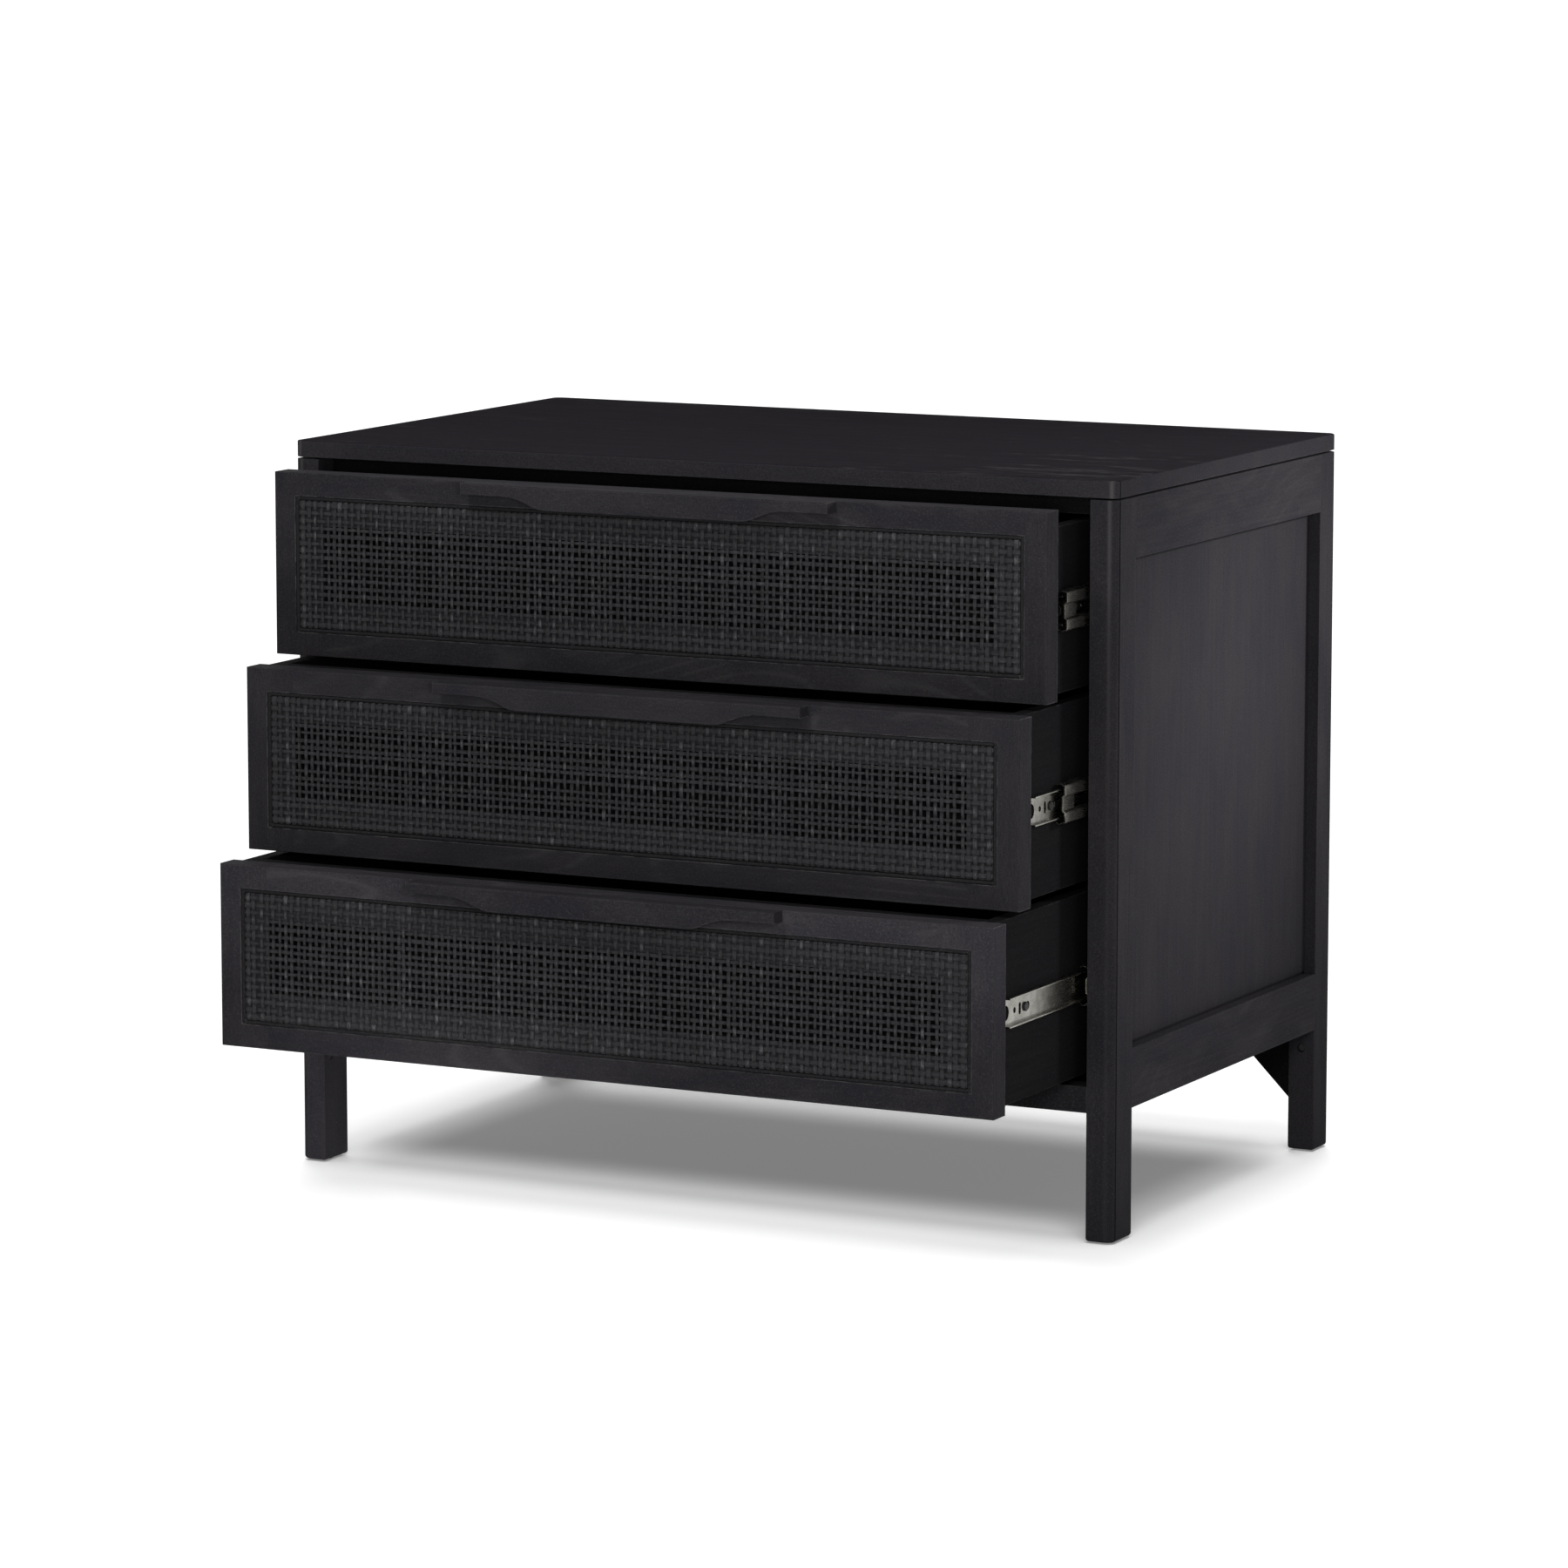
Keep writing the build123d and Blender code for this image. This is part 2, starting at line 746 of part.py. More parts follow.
def case_screws():
    """All screws of the case: top, slides and legs."""
    screws = [screw(point, (0, 0, 1), top_screw_length) for point in top_screw_points()]
    right = []
    for index in range(drawer_count):
        for offset_y in case_screw_offsets:
            right.append(screw(case_screw_seat(index, offset_y), (1, 0, 0), screw_bite))
    for sign in (-1, 1):
        point, direction = leg_screw(sign)
        seat = Vector(*point) + Vector(*direction) * leg_screw_sink
        right.append(screw(seat, direction, screw_bite))
    return screws + right + [other_side(piece) for piece in right]


def drawer_screws(index):
    """All screws of a drawer: slides, front frame and pull."""
    right = [screw(inner_screw_seat(index, y), (-1, 0, 0), screw_bite) for y in inner_screw_offsets]
    screws = right + [other_side(piece) for piece in right]
    screws += [screw(seat, (0, -1, 0), front_screw_length) for seat in front_screw_seats(index)]
    screws += [screw(seat, (0, -1, 0), pull_screw_length) for seat in pull_screw_seats(index)]
    return screws


def save_case():
    """Write the fixed pieces."""
    save("top_panel", top_panel())
    save("top_stretchers", *[stretcher(span) for span in stretcher_spans])
    for sign, end in ((-1, "front"), (1, "back")):
        right = post(sign)
        save(f"post_{end}_right", right)
        save(f"post_{end}_left", other_side(right))
    panel = side_panel()
    save("side_panel_right", panel)
    save("side_panel_left", other_side(panel))
    top_rail = side_rail(top_rail_z, top_tenon_z)
    bottom_rail = side_rail(bottom_rail_z, bottom_tenon_z)
    save("side_top_rails", top_rail, other_side(top_rail))
    save("side_bottom_rails", bottom_rail, other_side(bottom_rail))
    board = case_bottom()
    save("case_bottom", board)
    save("front_bottom_rail", cross_rail(front_rail_y, front_rail_z, front_tenon) - board)
    save("back_bottom_rail", cross_rail(back_rail_y, back_rail_z, back_tenon) - board)
    save("back_panel", back_panel())
    save("back_gussets", gusset(), other_side(gusset()))
    glides = [foot_glide(sign) for sign in (-1, 1)]
    save("foot_glides", *glides, *[other_side(glide) for glide in glides])
    members = [outer_member(index) for index in range(drawer_count)]
    save("slide_outer_members", *members, *[other_side(member) for member in members])
    save("case_screws", *case_screws())


def save_drawer(index):
    """Write the pieces of one drawer and of its slides."""
    name = drawer_names[index]
    stile = front_stile(index)
    inner_front, side, rear, bottom = box_pieces(index)
    middle = middle_member(index)
    inner_slide = inner_member(index)
    save(f"{name}_front_stiles", stile, other_side(stile))
    save(f"{name}_front_rails", *front_rails(index))
    save(f"{name}_cane_panel", cane_panel(index))
    save(f"{name}_cane_spline", *cane_spline(index))
    save(f"{name}_pull", pull(index))
    save(f"{name}_box_front", inner_front)
    save(f"{name}_box_sides", side, other_side(side))
    save(f"{name}_box_back", rear)
    save(f"{name}_box_bottom", bottom)
    save(f"{name}_slide_inner_members", inner_slide, other_side(inner_slide))
    save(f"{name}_screws", *drawer_screws(index))
    save(f"{name}_slide_middle_members", middle, other_side(middle))
    save(f"{name}_outer_ball_strips", *outer_ball_strips(index))
    save(f"{name}_inner_ball_strips", *inner_ball_strips(index))


os.makedirs("parts", exist_ok=True)
save_case()
for drawer in range(drawer_count):
    save_drawer(drawer)
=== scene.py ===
"""A black-washed nightstand with three cane-front drawers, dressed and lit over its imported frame."""
import json
import logging
from dataclasses import dataclass, field
from enum import Enum
from math import cos, pi, radians, sin
from typing import Optional, Union

import bpy
import numpy as np
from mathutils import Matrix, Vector


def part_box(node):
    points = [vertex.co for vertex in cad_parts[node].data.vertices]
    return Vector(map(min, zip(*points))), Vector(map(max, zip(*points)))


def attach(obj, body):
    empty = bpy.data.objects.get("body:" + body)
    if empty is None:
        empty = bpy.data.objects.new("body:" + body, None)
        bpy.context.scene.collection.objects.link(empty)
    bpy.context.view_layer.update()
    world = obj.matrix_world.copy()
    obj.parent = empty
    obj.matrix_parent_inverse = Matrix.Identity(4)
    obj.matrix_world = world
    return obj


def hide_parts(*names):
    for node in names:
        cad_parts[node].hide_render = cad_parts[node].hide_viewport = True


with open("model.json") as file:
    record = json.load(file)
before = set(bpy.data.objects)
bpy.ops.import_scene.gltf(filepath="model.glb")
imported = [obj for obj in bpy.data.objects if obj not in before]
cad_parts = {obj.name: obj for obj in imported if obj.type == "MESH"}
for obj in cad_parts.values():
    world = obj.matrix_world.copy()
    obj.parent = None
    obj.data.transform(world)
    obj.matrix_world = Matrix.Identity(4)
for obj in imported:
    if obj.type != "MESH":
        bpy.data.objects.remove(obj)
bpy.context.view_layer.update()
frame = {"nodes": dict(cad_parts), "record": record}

log = logging.getLogger("nightstand")

Colour = tuple[float, float, float]
Point = tuple[float, float, float]
Span = tuple[float, ...]
Stops = tuple[tuple[float, float], ...]
Socket = bpy.types.NodeSocket
Input = Union[Socket, float, Colour, Point]

BLACK: Colour = (0.0, 0.0, 0.0)
WHITE: Colour = (1.0, 1.0, 1.0)
# The values that most of a noise lies between, and the one in the middle
NOISE_SPAN: Span = (0.3, 0.7)
NOISE_MIDDLE = 0.5


class Along(Enum):
    """The axis that the grain of a board, or the drawing lines of a sheet, run along."""

    X = 0
    Y = 1
    Z = 2


class Wave(Enum):
    """Which of the two sets of strands of a weave goes over first at the lower left corner."""

    WARP = 1.0
    WEFT = -1.0


@dataclass(frozen=True)
class Pattern:
    """Smooth noise: spots per metre, the share of them along the grain, and how fine and bent they are."""

    spots: float
    stretch: float = 1.0
    detail: float = 2.0
    rough: float = 0.5
    bend: float = 0.0


class NodeBench:
    """The node tree of a material or a world, and short calls for the nodes that are used here."""

    def __init__(self, owner: Union[bpy.types.Material, bpy.types.World]) -> None:
        """Start the node tree.

        Args:
            owner: The material or the world that it belongs to.
        """
        owner.use_nodes = True
        self.owner = owner
        self.tree = owner.node_tree

    def add(self, kind: str, **settings: object) -> bpy.types.Node:
        """Add a node.

        Args:
            kind: The node's type name.
            settings: Attributes to set on the node.

        Returns:
            The new node.
        """
        node = self.tree.nodes.new(kind)
        for key, value in settings.items():
            setattr(node, key, value)
        return node

    def feed(self, socket: Socket, value: Input) -> None:
        """Link a socket to another one, or set its value.

        Args:
            socket: The socket that takes the value.
            value: Another socket, a number, a colour or a point.
        """
        if isinstance(value, bpy.types.NodeSocket):
            self.tree.links.new(value, socket)
        elif socket.type == "RGBA":
            socket.default_value = (*value, 1.0)
        else:
            socket.default_value = value

    def surface(self, **inputs: Input) -> None:
        """Feed inputs of the surface shader, named with underscores for spaces."""
        for key, value in inputs.items():
            self.feed(self.tree.nodes["Principled BSDF"].inputs[key.replace("_", " ")], value)

    def place(self) -> Socket:
        """The point on the piece, in metres of the shared frame."""
        return self.add("ShaderNodeTexCoord").outputs["Object"]

    def attribute(self, name: str) -> Socket:
        """A vector that is stored on the piece's points."""
        return self.add("ShaderNodeAttribute", attribute_name=name).outputs["Vector"]

    def flat_normal(self) -> Socket:
        """The normal of the face itself."""
        return self.add("ShaderNodeNewGeometry").outputs["True Normal"]

    def seen(self) -> Socket:
        """What the camera sees, straight, in gloss or through glass, apart from light that fills in.

        Returns:
            1 for what is seen and 0 for what fills in.
        """
        path = self.add("ShaderNodeLightPath")
        rays = ("Camera", "Glossy", "Transmission")
        straight, gloss, glass = (path.outputs[f"Is {ray} Ray"] for ray in rays)
        return self.maths("MAXIMUM", self.maths("MAXIMUM", straight, gloss), glass)

    def split(self, vector: Socket) -> tuple[Socket, Socket, Socket]:
        """A vector's three parts.

        Args:
            vector: The vector.

        Returns:
            Its X, Y and Z.
        """
        node = self.add("ShaderNodeSeparateXYZ")
        self.feed(node.inputs["Vector"], vector)
        return tuple(node.outputs)

    def stretched(self, vector: Socket, scale: Point) -> Socket:
        """A vector scaled along each axis.

        Args:
            vector: The vector to scale.
            scale: Factors along X, Y and Z.

        Returns:
            The scaled vector.
        """
        node = self.add("ShaderNodeMapping", vector_type="POINT")
        self.feed(node.inputs["Vector"], vector)
        self.feed(node.inputs["Scale"], scale)
        return node.outputs["Vector"]

    def noise(self, vector: Socket, pattern: Pattern, grain: Optional[Along] = None) -> Socket:
        """Smooth noise from 0 to 1.

        Args:
            vector: Where it is read.
            pattern: What it is like.
            grain: The axis that it is drawn out along, if any.

        Returns:
            The noise value.
        """
        if grain is not None:
            scale = tuple(pattern.stretch if axis is grain else 1.0 for axis in Along)
            vector = self.stretched(vector, scale)
        node = self.add("ShaderNodeTexNoise")
        self.feed(node.inputs["Vector"], vector)
        self.feed(node.inputs["Scale"], pattern.spots)
        self.feed(node.inputs["Detail"], pattern.detail)
        self.feed(node.inputs["Roughness"], pattern.rough)
        self.feed(node.inputs["Distortion"], pattern.bend)
        return node.outputs["Fac"]

    def ramp(self, value: Socket, low: float, high: float, start: float = 0.0, end: float = 1.0) -> Socket:
        """A smooth step between two values.

        Args:
            value: What is stepped.
            low: Where the step starts.
            high: Where the step ends.
            start: The result up to low.
            end: The result from high on.

        Returns:
            The stepped value.
        """
        node = self.add("ShaderNodeMapRange", interpolation_type="SMOOTHSTEP")
        names = ("Value", "From Min", "From Max", "To Min", "To Max")
        for key, number in zip(names, (value, low, high, start, end)):
            self.feed(node.inputs[key], number)
        return node.outputs["Result"]

    def steps(self, value: Socket, stops: Stops) -> Socket:
        """A value that runs in straight lines between stops.

        Args:
            value: Where along the stops, from 0 to 1.
            stops: Places and the values there, which lie between 0 and 1.

        Returns:
            The value in between.
        """
        node = self.add("ShaderNodeValToRGB")
        self.feed(node.inputs["Fac"], value)
        elements = node.color_ramp.elements
        while len(elements) < len(stops):
            elements.new(1.0)
        for element, (place, level) in zip(elements, stops):
            element.position = place
            element.color = (level, level, level, 1.0)
        return node.outputs["Color"]

    def maths(self, operation: str, first: Input, second: Input = 0.0) -> Socket:
        """Two values joined by an arithmetic operation.

        Args:
            operation: The operation's name.
            first: The first value.
            second: The second value, where the operation has one.

        Returns:
            The result.
        """
        node = self.add("ShaderNodeMath", operation=operation)
        self.feed(node.inputs[0], first)
        self.feed(node.inputs[1], second)
        return node.outputs["Value"]

    def product(self, first: Input, *others: Input) -> Socket:
        """Several values multiplied.

        Args:
            first: The first value.
            others: The values that it is multiplied by.

        Returns:
            The product.
        """
        for other in others:
            first = self.maths("MULTIPLY", first, other)
        return first

    def gap(self, first: Input, second: Input) -> Socket:
        """How far apart two values are."""
        return self.maths("ABSOLUTE", self.maths("SUBTRACT", first, second))

    def swing(self, noise: Socket, size: float) -> Socket:
        """A noise that goes up and down about 0 by a size."""
        return self.product(self.maths("SUBTRACT", noise, NOISE_MIDDLE), size)

    def varied(self, noise: Socket, middle: float, swing: float) -> Socket:
        """A value that follows a noise, from a swing below its middle to a swing above it."""
        return self.ramp(noise, *NOISE_SPAN, middle - swing, middle + swing)

    def blend(self, share: Socket, first: Input, second: Input) -> Socket:
        """A colour between two colours.

        Args:
            share: 0 for the first colour, 1 for the second, and more to go beyond it.
            first: The first colour.
            second: The second colour.

        Returns:
            The blended colour.
        """
        node = self.add("ShaderNodeMix", data_type="RGBA", clamp_factor=False)
        self.feed(node.inputs["Factor"], share)
        self.feed(node.inputs[6], first)
        self.feed(node.inputs[7], second)
        return node.outputs[2]

    def eased_normal(self, radius: Input) -> Socket:
        """The surface normal, turned over sharp edges as if they were rounded.

        Args:
            radius: The radius of the rounding.

        Returns:
            The turned normal.
        """
        node = self.add("ShaderNodeBevel", samples=4)
        self.feed(node.inputs["Radius"], radius)
        return node.outputs["Normal"]

    def edge(self, radius: Input) -> Socket:
        """How near a sharp edge is, from the turn of the eased normal.

        Args:
            radius: How far from the edge it is felt.

        Returns:
            0 on flats, about 0.3 on the edge.
        """
        dot = self.add("ShaderNodeVectorMath", operation="DOT_PRODUCT")
        self.feed(dot.inputs[0], self.eased_normal(radius))
        self.feed(dot.inputs[1], self.flat_normal())
        return self.maths("SUBTRACT", 1.0, dot.outputs["Value"])

    def relief(
        self, height: Socket, depth: float, strength: float, normal: Optional[Socket] = None
    ) -> Socket:
        """A normal that follows a height.

        Args:
            height: The height, from 0 to 1.
            depth: How deep a height of 1 is.
            strength: Share of the relief that shows.
            normal: The normal that the relief lies on.

        Returns:
            The new normal.
        """
        node = self.add("ShaderNodeBump")
        self.feed(node.inputs["Height"], height)
        self.feed(node.inputs["Distance"], depth)
        self.feed(node.inputs["Strength"], strength)
        if normal is not None:
            self.feed(node.inputs["Normal"], normal)
        return node.outputs["Normal"]


@dataclass(frozen=True)
class Timber:
    """The patterns of a washed board, and the smooth steps by which each of them shows."""

    cloud: Pattern = Pattern(24.0, 0.4, 4.0, 0.55, 0.5)
    streak: Pattern = Pattern(330.0, 0.03, 4.0, 0.6)
    pore: Pattern = Pattern(1700.0, 0.12)
    speck: Pattern = Pattern(750.0, rough=0.6)
    rings: Pattern = Pattern(9.0, 0.25, 1.0)
    rubbing: Pattern = Pattern(70.0, detail=4.0, rough=0.65)
    cloud_share: float = 0.75
    tone: Span = (0.32, 0.68)
    pore_dark: Span = (0.5, 0.3, 0.0, 0.26)
    speck_dark: Span = (0.44, 0.3, 0.0, 0.45)
    speck_pale: Span = (0.55, 0.72, 0.0, 0.42)
    fleck: Span = (0.6, 0.72)
    fleck_cloud: Span = (0.35, 0.65)
    ring_count: float = 24.0
    ring_half: float = 0.5
    ring: Span = (0.28, 0.5)
    ring_cloud: Span = (0.4, 0.62)
    rub_edge: Span = (0.06, 0.28)
    rub_patch: Span = (0.36, 0.62)
    looks_up: Span = (0.6, 0.9)
    shaded_up_share: float = 0.85
    deep_share: float = 0.45
    crease_shade: Span = (0.001, 0.0035)
    crease_shade_share: float = 0.8
    streak_height: float = 0.6
    pore_height: float = 0.4
    relief_depth: float = 0.00022
    relief_share: float = 0.4
    rough_swing: float = -0.07


TIMBER = Timber()


class BoardBench(NodeBench):
    """The node tree of a board's material, with the place on the object and the wood's patterns at hand."""

    def __init__(self, name: str, grain: Along) -> None:
        """Start the material.

        Args:
            name: The material's name.
            grain: The grain of the board.
        """
        super().__init__(bpy.data.materials.new(name))
        self.grain = grain
        self.spot = self.place()
        x, self.y, self.z = self.split(self.spot)
        self.middle = self.maths("ABSOLUTE", x)
        self.cloud = self.noise(self.spot, TIMBER.cloud, grain)
        self.streak = self.noise(self.spot, TIMBER.streak, grain)
        self.pore = self.noise(self.spot, TIMBER.pore, grain)


@dataclass(frozen=True)
class Scuffs:
    """Streaky scuffs on the faces that look up, most of them near one point."""

    at: Point
    reach: float = 0.3
    share: float = 0.8
    gather: float = 0.14
    scratch: Pattern = Pattern(42.0, 0.3, 7.0, 0.7)
    shows: Span = (0.6, 0.78)

    def mask(self, bench: BoardBench, up: Socket) -> Socket:
        """How far the wash is scuffed.

        Args:
            bench: Where the material is built.
            up: 1 on faces that look up.

        Returns:
            The share of the pale colour.
        """
        gap = bench.add("ShaderNodeVectorMath", operation="DISTANCE")
        bench.feed(gap.inputs[0], bench.spot)
        bench.feed(gap.inputs[1], self.at)
        near = bench.ramp(gap.outputs["Value"], 0.0, self.reach, self.gather, 0.0)
        scratched = bench.maths("ADD", bench.noise(bench.spot, self.scratch, bench.grain), near)
        return bench.product(bench.ramp(scratched, *self.shows, 0.0, self.share), up)


@dataclass(frozen=True)
class Corner:
    """Rounded upright corners: a painted highlight line on the front ones, and painted shade in the small
    groove beside each.
    """

    highlight_x: float
    highlight_share: float
    front_y: float
    groove_x: float
    groove_y: float
    highlight_half: float = 0.0045
    highlight_power: float = 2.5
    low_highlight_share: float = 0.2
    rises: Span = (0.35, 0.65)
    groove_edge: Span = (0.0013, 0.0006)

    def corner_highlight(self, bench: BoardBench) -> Socket:
        """A painted highlight along one line of the rounded corner, stronger towards the top.

        Args:
            bench: Where the material is built.

        Returns:
            The share of the wear-and-highlight colour.
        """
        near = bench.ramp(bench.gap(bench.middle, self.highlight_x), self.highlight_half, 0.0)
        high = bench.ramp(bench.z, *self.rises, self.low_highlight_share * self.highlight_share, self.highlight_share)
        fore = bench.maths("LESS_THAN", bench.y, self.front_y)
        return bench.product(bench.maths("POWER", near, self.highlight_power), high, fore)

    def groove_shade(self, bench: BoardBench) -> Socket:
        """Painted shade in the small groove beside the corner.

        Args:
            bench: Where the material is built.

        Returns:
            The share of the painted shade colour.
        """
        off = bench.gap(bench.maths("ABSOLUTE", bench.y), self.groove_y)
        outer = bench.maths("GREATER_THAN", bench.middle, self.groove_x)
        return bench.product(bench.ramp(off, *self.groove_edge), outer)


@dataclass(frozen=True)
class BlackWash:
    """Wood under a black wash: charcoal, with streaks and fine pores along the grain and pale edges of wear.
    """

    name: str
    grain: Along
    colour: Colour = (0.0447, 0.0413, 0.0452)
    cool: Colour = (0.0318, 0.0300, 0.0360)
    pale: Colour = (0.085, 0.081, 0.084)
    # worn edges, and also the painted highlight line on the rounded corners
    wear_and_highlight: Colour = (0.20, 0.19, 0.185)
    # painted shade: in the corner grooves, along the crease under the side panel and behind the cane
    painted_shade: Colour = (0.015, 0.014, 0.015)
    shaded_up_colour: Optional[Colour] = None
    wear: float = 0.7
    flecks: float = 0.12
    figure: float = 0.0
    scuffs: Optional[Scuffs] = None
    corner: Optional[Corner] = None
    crease_z: Optional[float] = None
    shading_bands: Stops = ()
    shading_scale: float = 1.0
    seat_shade: Stops = ()
    seat_from: float = 0.0
    roughness: float = 0.62
    gloss: float = 0.008
    ease: float = 0.0008
    rub_width: float = 0.002
    free_from: float = -1.0
    free_to: float = 1.0

    def washed(self, bench: BoardBench) -> Socket:
        """The wash over the grain: cool and warm clouds, dark pores, specks, pale flecks and growth rings.

        The rings are the level lines of a slow noise, which is folded up and down many times.

        Args:
            bench: Where the material is built.

        Returns:
            The colour.
        """
        deep = tuple(channel * TIMBER.deep_share for channel in self.cool)
        streaks = bench.product(bench.streak, 1.0 - TIMBER.cloud_share)
        tone = bench.maths("ADD", bench.product(bench.cloud, TIMBER.cloud_share), streaks)
        colour = bench.blend(bench.ramp(tone, *TIMBER.tone), self.cool, self.colour)
        colour = bench.blend(bench.ramp(bench.pore, *TIMBER.pore_dark), colour, deep)
        speck = bench.noise(bench.spot, TIMBER.speck)
        colour = bench.blend(bench.ramp(speck, *TIMBER.speck_dark), colour, deep)
        colour = bench.blend(bench.ramp(speck, *TIMBER.speck_pale), colour, self.pale)
        clouded = bench.ramp(bench.cloud, *TIMBER.fleck_cloud)
        fleck = bench.product(bench.ramp(bench.pore, *TIMBER.fleck), clouded, self.flecks)
        colour = bench.blend(fleck, colour, self.pale)
        if self.figure:
            rings = bench.product(bench.noise(bench.spot, TIMBER.rings, self.grain), TIMBER.ring_count)
            ring = bench.ramp(bench.maths("PINGPONG", rings, TIMBER.ring_half), *TIMBER.ring)
            ring = bench.product(ring, bench.ramp(bench.cloud, *TIMBER.ring_cloud), self.figure)
            colour = bench.blend(ring, colour, self.pale)
        return colour

    def faced(self, bench: BoardBench, colour: Socket) -> Socket:
        """The faces that look up in a darker colour, painted shade for the weak light from above, with their
        scuffs, where there are any.

        Args:
            bench: Where the material is built.
            colour: The colour of the wash.

        Returns:
            The new colour.
        """
        if self.shaded_up_colour is None or self.scuffs is None:
            return colour
        up = bench.ramp(bench.split(bench.flat_normal())[2], *TIMBER.looks_up)
        colour = bench.blend(bench.product(up, TIMBER.shaded_up_share), colour, self.shaded_up_colour)
        return bench.blend(self.scuffs.mask(bench, up), colour, self.pale)

    def marked(self, bench: BoardBench, colour: Socket) -> Socket:
        """The painted highlight on the corner, and painted shade in its groove, along the crease and behind
        the cane, where there are any.

        Args:
            bench: Where the material is built.
            colour: The colour without them.

        Returns:
            The new colour.
        """
        if self.corner is not None:
            colour = bench.blend(self.corner.corner_highlight(bench), colour, self.wear_and_highlight)
            colour = bench.blend(self.corner.groove_shade(bench), colour, self.painted_shade)
        # painted shade along the crease under the side panel
        if self.crease_z is not None:
            start, end = (self.crease_z + rise for rise in TIMBER.crease_shade)
            crease_shade = bench.ramp(bench.z, start, end, TIMBER.crease_shade_share, 0.0)
            colour = bench.blend(crease_shade, colour, self.painted_shade)
        # painted shade on the wood behind the cane
        if self.seat_shade:
            behind = bench.maths("LESS_THAN", bench.middle, self.seat_from)
            seat_shade = bench.product(behind, bench.steps(bench.z, self.seat_shade))
            colour = bench.blend(seat_shade, colour, self.painted_shade)
        return colour

    def material(self) -> bpy.types.Material:
        """Build the material.

        Returns:
            The finished material.
        """
        bench = BoardBench(self.name, self.grain)
        colour = self.faced(bench, self.washed(bench))
        # painted light and shade on the drawer fronts, by height
        if self.shading_bands:
            level = bench.product(bench.steps(bench.z, self.shading_bands), self.shading_scale)
            colour = bench.blend(level, BLACK, colour)
        beyond = bench.maths("GREATER_THAN", bench.middle, self.free_from)
        free = bench.product(beyond, bench.maths("LESS_THAN", bench.middle, self.free_to))
        edge = bench.ramp(bench.edge(bench.product(free, self.rub_width)), *TIMBER.rub_edge)
        patch = bench.ramp(bench.noise(bench.spot, TIMBER.rubbing), *TIMBER.rub_patch, 0.0, self.wear)
        colour = self.marked(bench, bench.blend(bench.product(edge, patch), colour, self.wear_and_highlight))
        sunk = bench.product(bench.pore, TIMBER.pore_height)
        height = bench.maths("SUBTRACT", bench.product(bench.streak, TIMBER.streak_height), sunk)
        eased = bench.eased_normal(bench.product(free, self.ease))
        bench.surface(
            Base_Color=colour,
            Roughness=bench.varied(bench.streak, self.roughness, TIMBER.rough_swing),
            Specular_IOR_Level=self.gloss,
            Normal=bench.relief(height, TIMBER.relief_depth, TIMBER.relief_share, eased),
        )
        return bench.owner


@dataclass(frozen=True)
class CaneFibre:
    """Black-stained cane peel: fine fibres along each strand, with painted highlights on its crowns and
    painted shade in its dips and along its edges.
    """

    name: str = "cane_fibre"
    dark: Colour = (0.0125, 0.0122, 0.0132)
    light: Colour = (0.040, 0.0390, 0.0425)
    # the pale colour shows the painted highlights on the crowns and at the strand ends
    pale: Colour = (0.125, 0.122, 0.128)
    light_span: Span = (0.0, 0.5)
    pale_span: Span = (0.5, 1.0)
    fibre: Pattern = Pattern(1.0, detail=3.0, rough=0.6)
    fibre_scale: Point = (60.0, 3600.0, 0.0)
    fibre_swing: float = 0.6
    mottle: Pattern = Pattern(1.0, rough=0.6)
    mottle_scale: Point = (330.0, 500.0, 0.0)
    mottle_swing: float = 0.9
    relief_depth: float = 0.00006
    relief_share: float = 0.5
    roughness: float = 0.46
    rough_swing: float = -0.08
    gloss: float = 0.08

    def material(self) -> bpy.types.Material:
        """Build the material from each point's place along and across its strand and its shade, which
        carries painted highlights and painted shade.

        Returns:
            The finished material.
        """
        bench = NodeBench(bpy.data.materials.new(self.name))
        fibre = bench.attribute("fibre")
        shade = bench.split(fibre)[2]
        lines = bench.noise(bench.stretched(fibre, self.fibre_scale), self.fibre)
        fibres = bench.swing(lines, self.fibre_swing)
        patches = bench.swing(
            bench.noise(bench.stretched(fibre, self.mottle_scale), self.mottle), self.mottle_swing
        )
        share = bench.maths("ADD", shade, bench.maths("ADD", fibres, patches))
        colour = bench.blend(bench.ramp(share, *self.light_span), self.dark, self.light)
        colour = bench.blend(bench.ramp(share, *self.pale_span), colour, self.pale)
        bench.surface(
            Base_Color=colour,
            Roughness=bench.varied(lines, self.roughness, self.rough_swing),
            Specular_IOR_Level=self.gloss,
            Normal=bench.relief(lines, self.relief_depth, self.relief_share),
        )
        return bench.owner


@dataclass(frozen=True)
class ZincSheet:
    """Bright zinc on rolled steel sheet: warm grey metal with drawing lines and faint cloudy marks."""

    name: str
    lines_along: Along = Along.Y
    lines: Pattern = Pattern(900.0, 0.02)
    marks: Pattern = Pattern(110.0, detail=4.0, rough=0.6)
    marks_span: Span = (0.35, 0.65)
    colour: Colour = (0.31, 0.302, 0.272)
    dull: Colour = (0.21, 0.204, 0.18)
    roughness: float = 0.27
    rough_swing: float = 0.01
    ease: float = 0.0003

    def material(self) -> bpy.types.Material:
        """Build the material.

        Returns:
            The finished material.
        """
        bench = NodeBench(bpy.data.materials.new(self.name))
        place = bench.place()
        lines = bench.noise(place, self.lines, self.lines_along)
        marks = bench.ramp(bench.noise(place, self.marks), *self.marks_span)
        bench.surface(
            Base_Color=bench.blend(marks, self.dull, self.colour),
            Metallic=1.0,
            Roughness=bench.varied(lines, self.roughness, self.rough_swing),
            Normal=bench.eased_normal(self.ease),
        )
        return bench.owner


